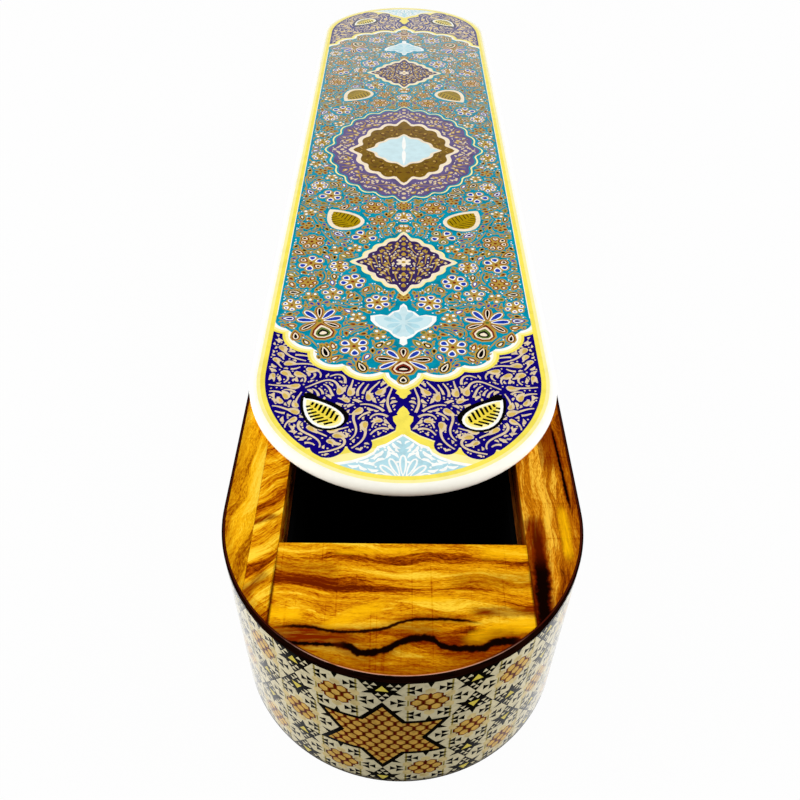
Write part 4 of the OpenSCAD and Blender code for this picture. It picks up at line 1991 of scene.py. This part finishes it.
@dataclass
class PaintedLid(SubAssembly):
    """The sliding lid: a round-edged plate, painted on top, with a runner under it."""

    edge_steps: int = 12
    ease: float = 0.2

    def plate(self) -> None:
        """Build the plate with its painting in one mesh."""
        low, high = (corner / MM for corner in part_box("lid_plate"))
        roll = (high.z - low.z) / 2
        reach, middle = high.x, (low.y + high.y) / 2
        straight = (high.y - low.y) / 2 - reach
        painting = Illumination(straight, reach - roll)
        skin = painting.paint()
        order = list(Paint)
        points: list[Vector] = []
        faces: list[Sequence[int]] = []
        slots: list[int] = []
        for side in (1, -1):
            for end in (1, -1):
                base = len(points)
                points += [Vector((side * x, middle - end * out, high.z)) * MM for x, out in skin.points]
                for triangle, tint in zip(skin.triangles, skin.tints):
                    corners = [base + corner for corner in triangle]
                    faces.append(corners[::-1] if side * end > 0 else corners)
                    slots.append(order.index(tint))
        rings: list[list[int]] = []
        for k in range(self.edge_steps + 1):
            turn = math.pi * k / self.edge_steps
            loop = self.all_round(painting.edge(reach - roll + roll * math.sin(turn)))
            height = (high.z + low.z) / 2 + roll * math.cos(turn)
            rings.append(list(range(len(points), len(points) + len(loop))))
            points += [Vector((x, middle + out, height)) * MM for x, out in loop]
        ivory = order.index(Paint.IVORY)
        for upper, lower in zip(rings, rings[1:]):
            for k in range(len(upper)):
                faces.append((upper[k - 1], lower[k - 1], lower[k], upper[k]))
                slots.append(ivory)
        faces.append(rings[-1][::-1])
        slots.append(ivory)
        materials = [tint.value.material() for tint in order]
        piece = new_piece("lid_plate_painted", points, faces, materials, slots)
        mesh, near = piece.data, 0.001 * MM
        rework(mesh, mesh, lambda shape: bmesh.ops.remove_doubles(shape, verts=shape.verts, dist=near))
        self.fit(piece, "ivory_lacquer", "lid_plate")

    @staticmethod
    def all_round(quarter: Outline) -> Outline:
        """Carry a quarter of the plate's outline, from its side to its tip, all the way round."""
        right = [(x, -out) for x, out in quarter[1:][::-1]] + quarter
        return right + [(-x, out) for x, out in quarter[:-1][::-1]] + [(-x, -out) for x, out in quarter[1:-1]]

    def runner(self) -> None:
        """Build the runner under the plate."""
        wood = WoodFinish("runner_wood", 90.0, 12.6, BROWN).material()
        for node in ("runner_block", "runner_tongue"):
            self.fit(eased_copy(node, self.ease, wood), "olive_wood", node)

    def build(self) -> None:
        """Build the plate and the runner."""
        self.plate()
        self.runner()


@dataclass(frozen=True)
class Lamp:
    """A square soft lamp, in metres and watts, which gloss may or may not mirror."""

    name: str
    place: tuple[float, float, float]
    side: float
    power: float
    mirrored: bool = True

    def hang(self, aim: Vector) -> None:
        """Hang the lamp so that it faces a point."""
        light = bpy.data.lights.new(self.name, "AREA")
        light.size = self.side
        light.energy = self.power
        holder = bpy.data.objects.new(self.name, light)
        holder.location = self.place
        holder.visible_glossy = self.mirrored
        holder.rotation_euler = (aim - holder.location).to_track_quat("-Z", "Y").to_euler()
        bpy.context.scene.collection.objects.link(holder)


@dataclass
class Studio:
    """Pale floor, soft lamps, white surround and the camera of the photograph."""

    floor_half: float = 4.0
    floor_colour: Colour = srgb(212, 212, 212)
    floor_glow: float = 0.97
    fill: float = 0.5
    lamps: tuple[Lamp, ...] = (
        Lamp("left_lamp", (-0.55, -0.12, 0.6), 0.5, 2.3),
        Lamp("right_lamp", (0.6, -0.04, 0.55), 0.5, 2.0),
        Lamp("left_fill", (-0.75, -0.05, 0.06), 0.3, 5.8, mirrored=False),
        Lamp("right_fill", (0.75, -0.05, 0.06), 0.3, 5.2, mirrored=False),
    )
    lamp_aim: tuple[float, float, float] = (0.0, -0.03, 0.02)
    eye: tuple[float, float, float] = (-1.155, -178.58, 141.28)
    pitch: float = 43.389
    yaw: float = 0.290
    roll: float = -0.830
    focal_pixels: float = 788.3
    image_pixels: float = 800.0

    @staticmethod
    def seen(bench: Bench) -> Value:
        """Give 1 for rays from the camera and for those that gloss and glass send on."""
        path = bench.node("ShaderNodeLightPath").outputs
        rays = [Value(bench, path[f"Is {kind} Ray"]) for kind in ("Camera", "Glossy", "Transmission")]
        return rays[0] + rays[1] + rays[2]

    def floor(self) -> None:
        """Lay a pale floor that keeps the shadow."""
        bench = Bench.named("studio_floor")
        card = bench.node("ShaderNodeBsdfDiffuse", sockets={"Color": self.floor_colour})
        glow = bench.node("ShaderNodeEmission", sockets={"Strength": 1.0})
        share = self.seen(bench) * self.floor_glow
        both = bench.node("ShaderNodeMixShader", sockets={0: share, 1: card.outputs[0], 2: glow.outputs[0]})
        bench.close(both.outputs[0])
        far = self.floor_half
        corners = [Vector((x, y, 0.0)) for x, y in ((-far, -far), (far, -far), (far, far), (-far, far))]
        new_piece("floor", corners, [(0, 1, 2, 3)], [bench.owner])

    def surround(self) -> None:
        """Light the scene from all round, with a white background."""
        world = bpy.data.worlds.new("white_surround")
        bpy.context.scene.world = world
        bench = Bench(world)
        strength = self.seen(bench) * (1 - self.fill) + self.fill
        sockets = {"Color": srgb(255, 255, 255), "Strength": strength}
        back = bench.node("ShaderNodeBackground", sockets=sockets)
        bench.close(back.outputs[0])

    def camera(self) -> None:
        """Set the camera up as the photograph's was."""
        pitch, yaw, roll = (math.radians(a) for a in (self.pitch, self.yaw, self.roll))
        sight = Vector((math.sin(yaw) * math.cos(pitch), math.cos(yaw) * math.cos(pitch), -math.sin(pitch)))
        flat = Vector((math.cos(yaw), -math.sin(yaw), 0.0))
        under = sight.cross(flat)
        right = flat * math.cos(roll) + under * math.sin(roll)
        down = under * math.cos(roll) - flat * math.sin(roll)
        lens = bpy.data.cameras.new("camera")
        lens.sensor_width = 36.0
        lens.lens = lens.sensor_width * self.focal_pixels / self.image_pixels
        lens.clip_start = 0.01
        holder = bpy.data.objects.new("camera", lens)
        turned = Matrix((right, -down, -sight)).transposed()
        holder.matrix_world = Matrix.Translation(Vector(self.eye) * MM) @ turned.to_4x4()
        bpy.context.scene.collection.objects.link(holder)
        bpy.context.scene.camera = holder

    def build(self) -> None:
        """Set up the floor, the light and the camera."""
        bpy.context.scene.view_settings.view_transform = "Standard"
        self.camera()
        self.floor()
        self.surround()
        for lamp in self.lamps:
            lamp.hang(Vector(self.lamp_aim))


def main() -> None:
    """Build the studio and every sub-assembly."""
    logging.basicConfig(level=logging.INFO, format="%(message)s")
    Studio().build()
    WoodCarcass("box").build()
    KhatamWall("box").build()
    Edging("box").build()
    VelvetTray("box").build()
    PaintedLid("lid").build()


if __name__ == "__main__":
    main()
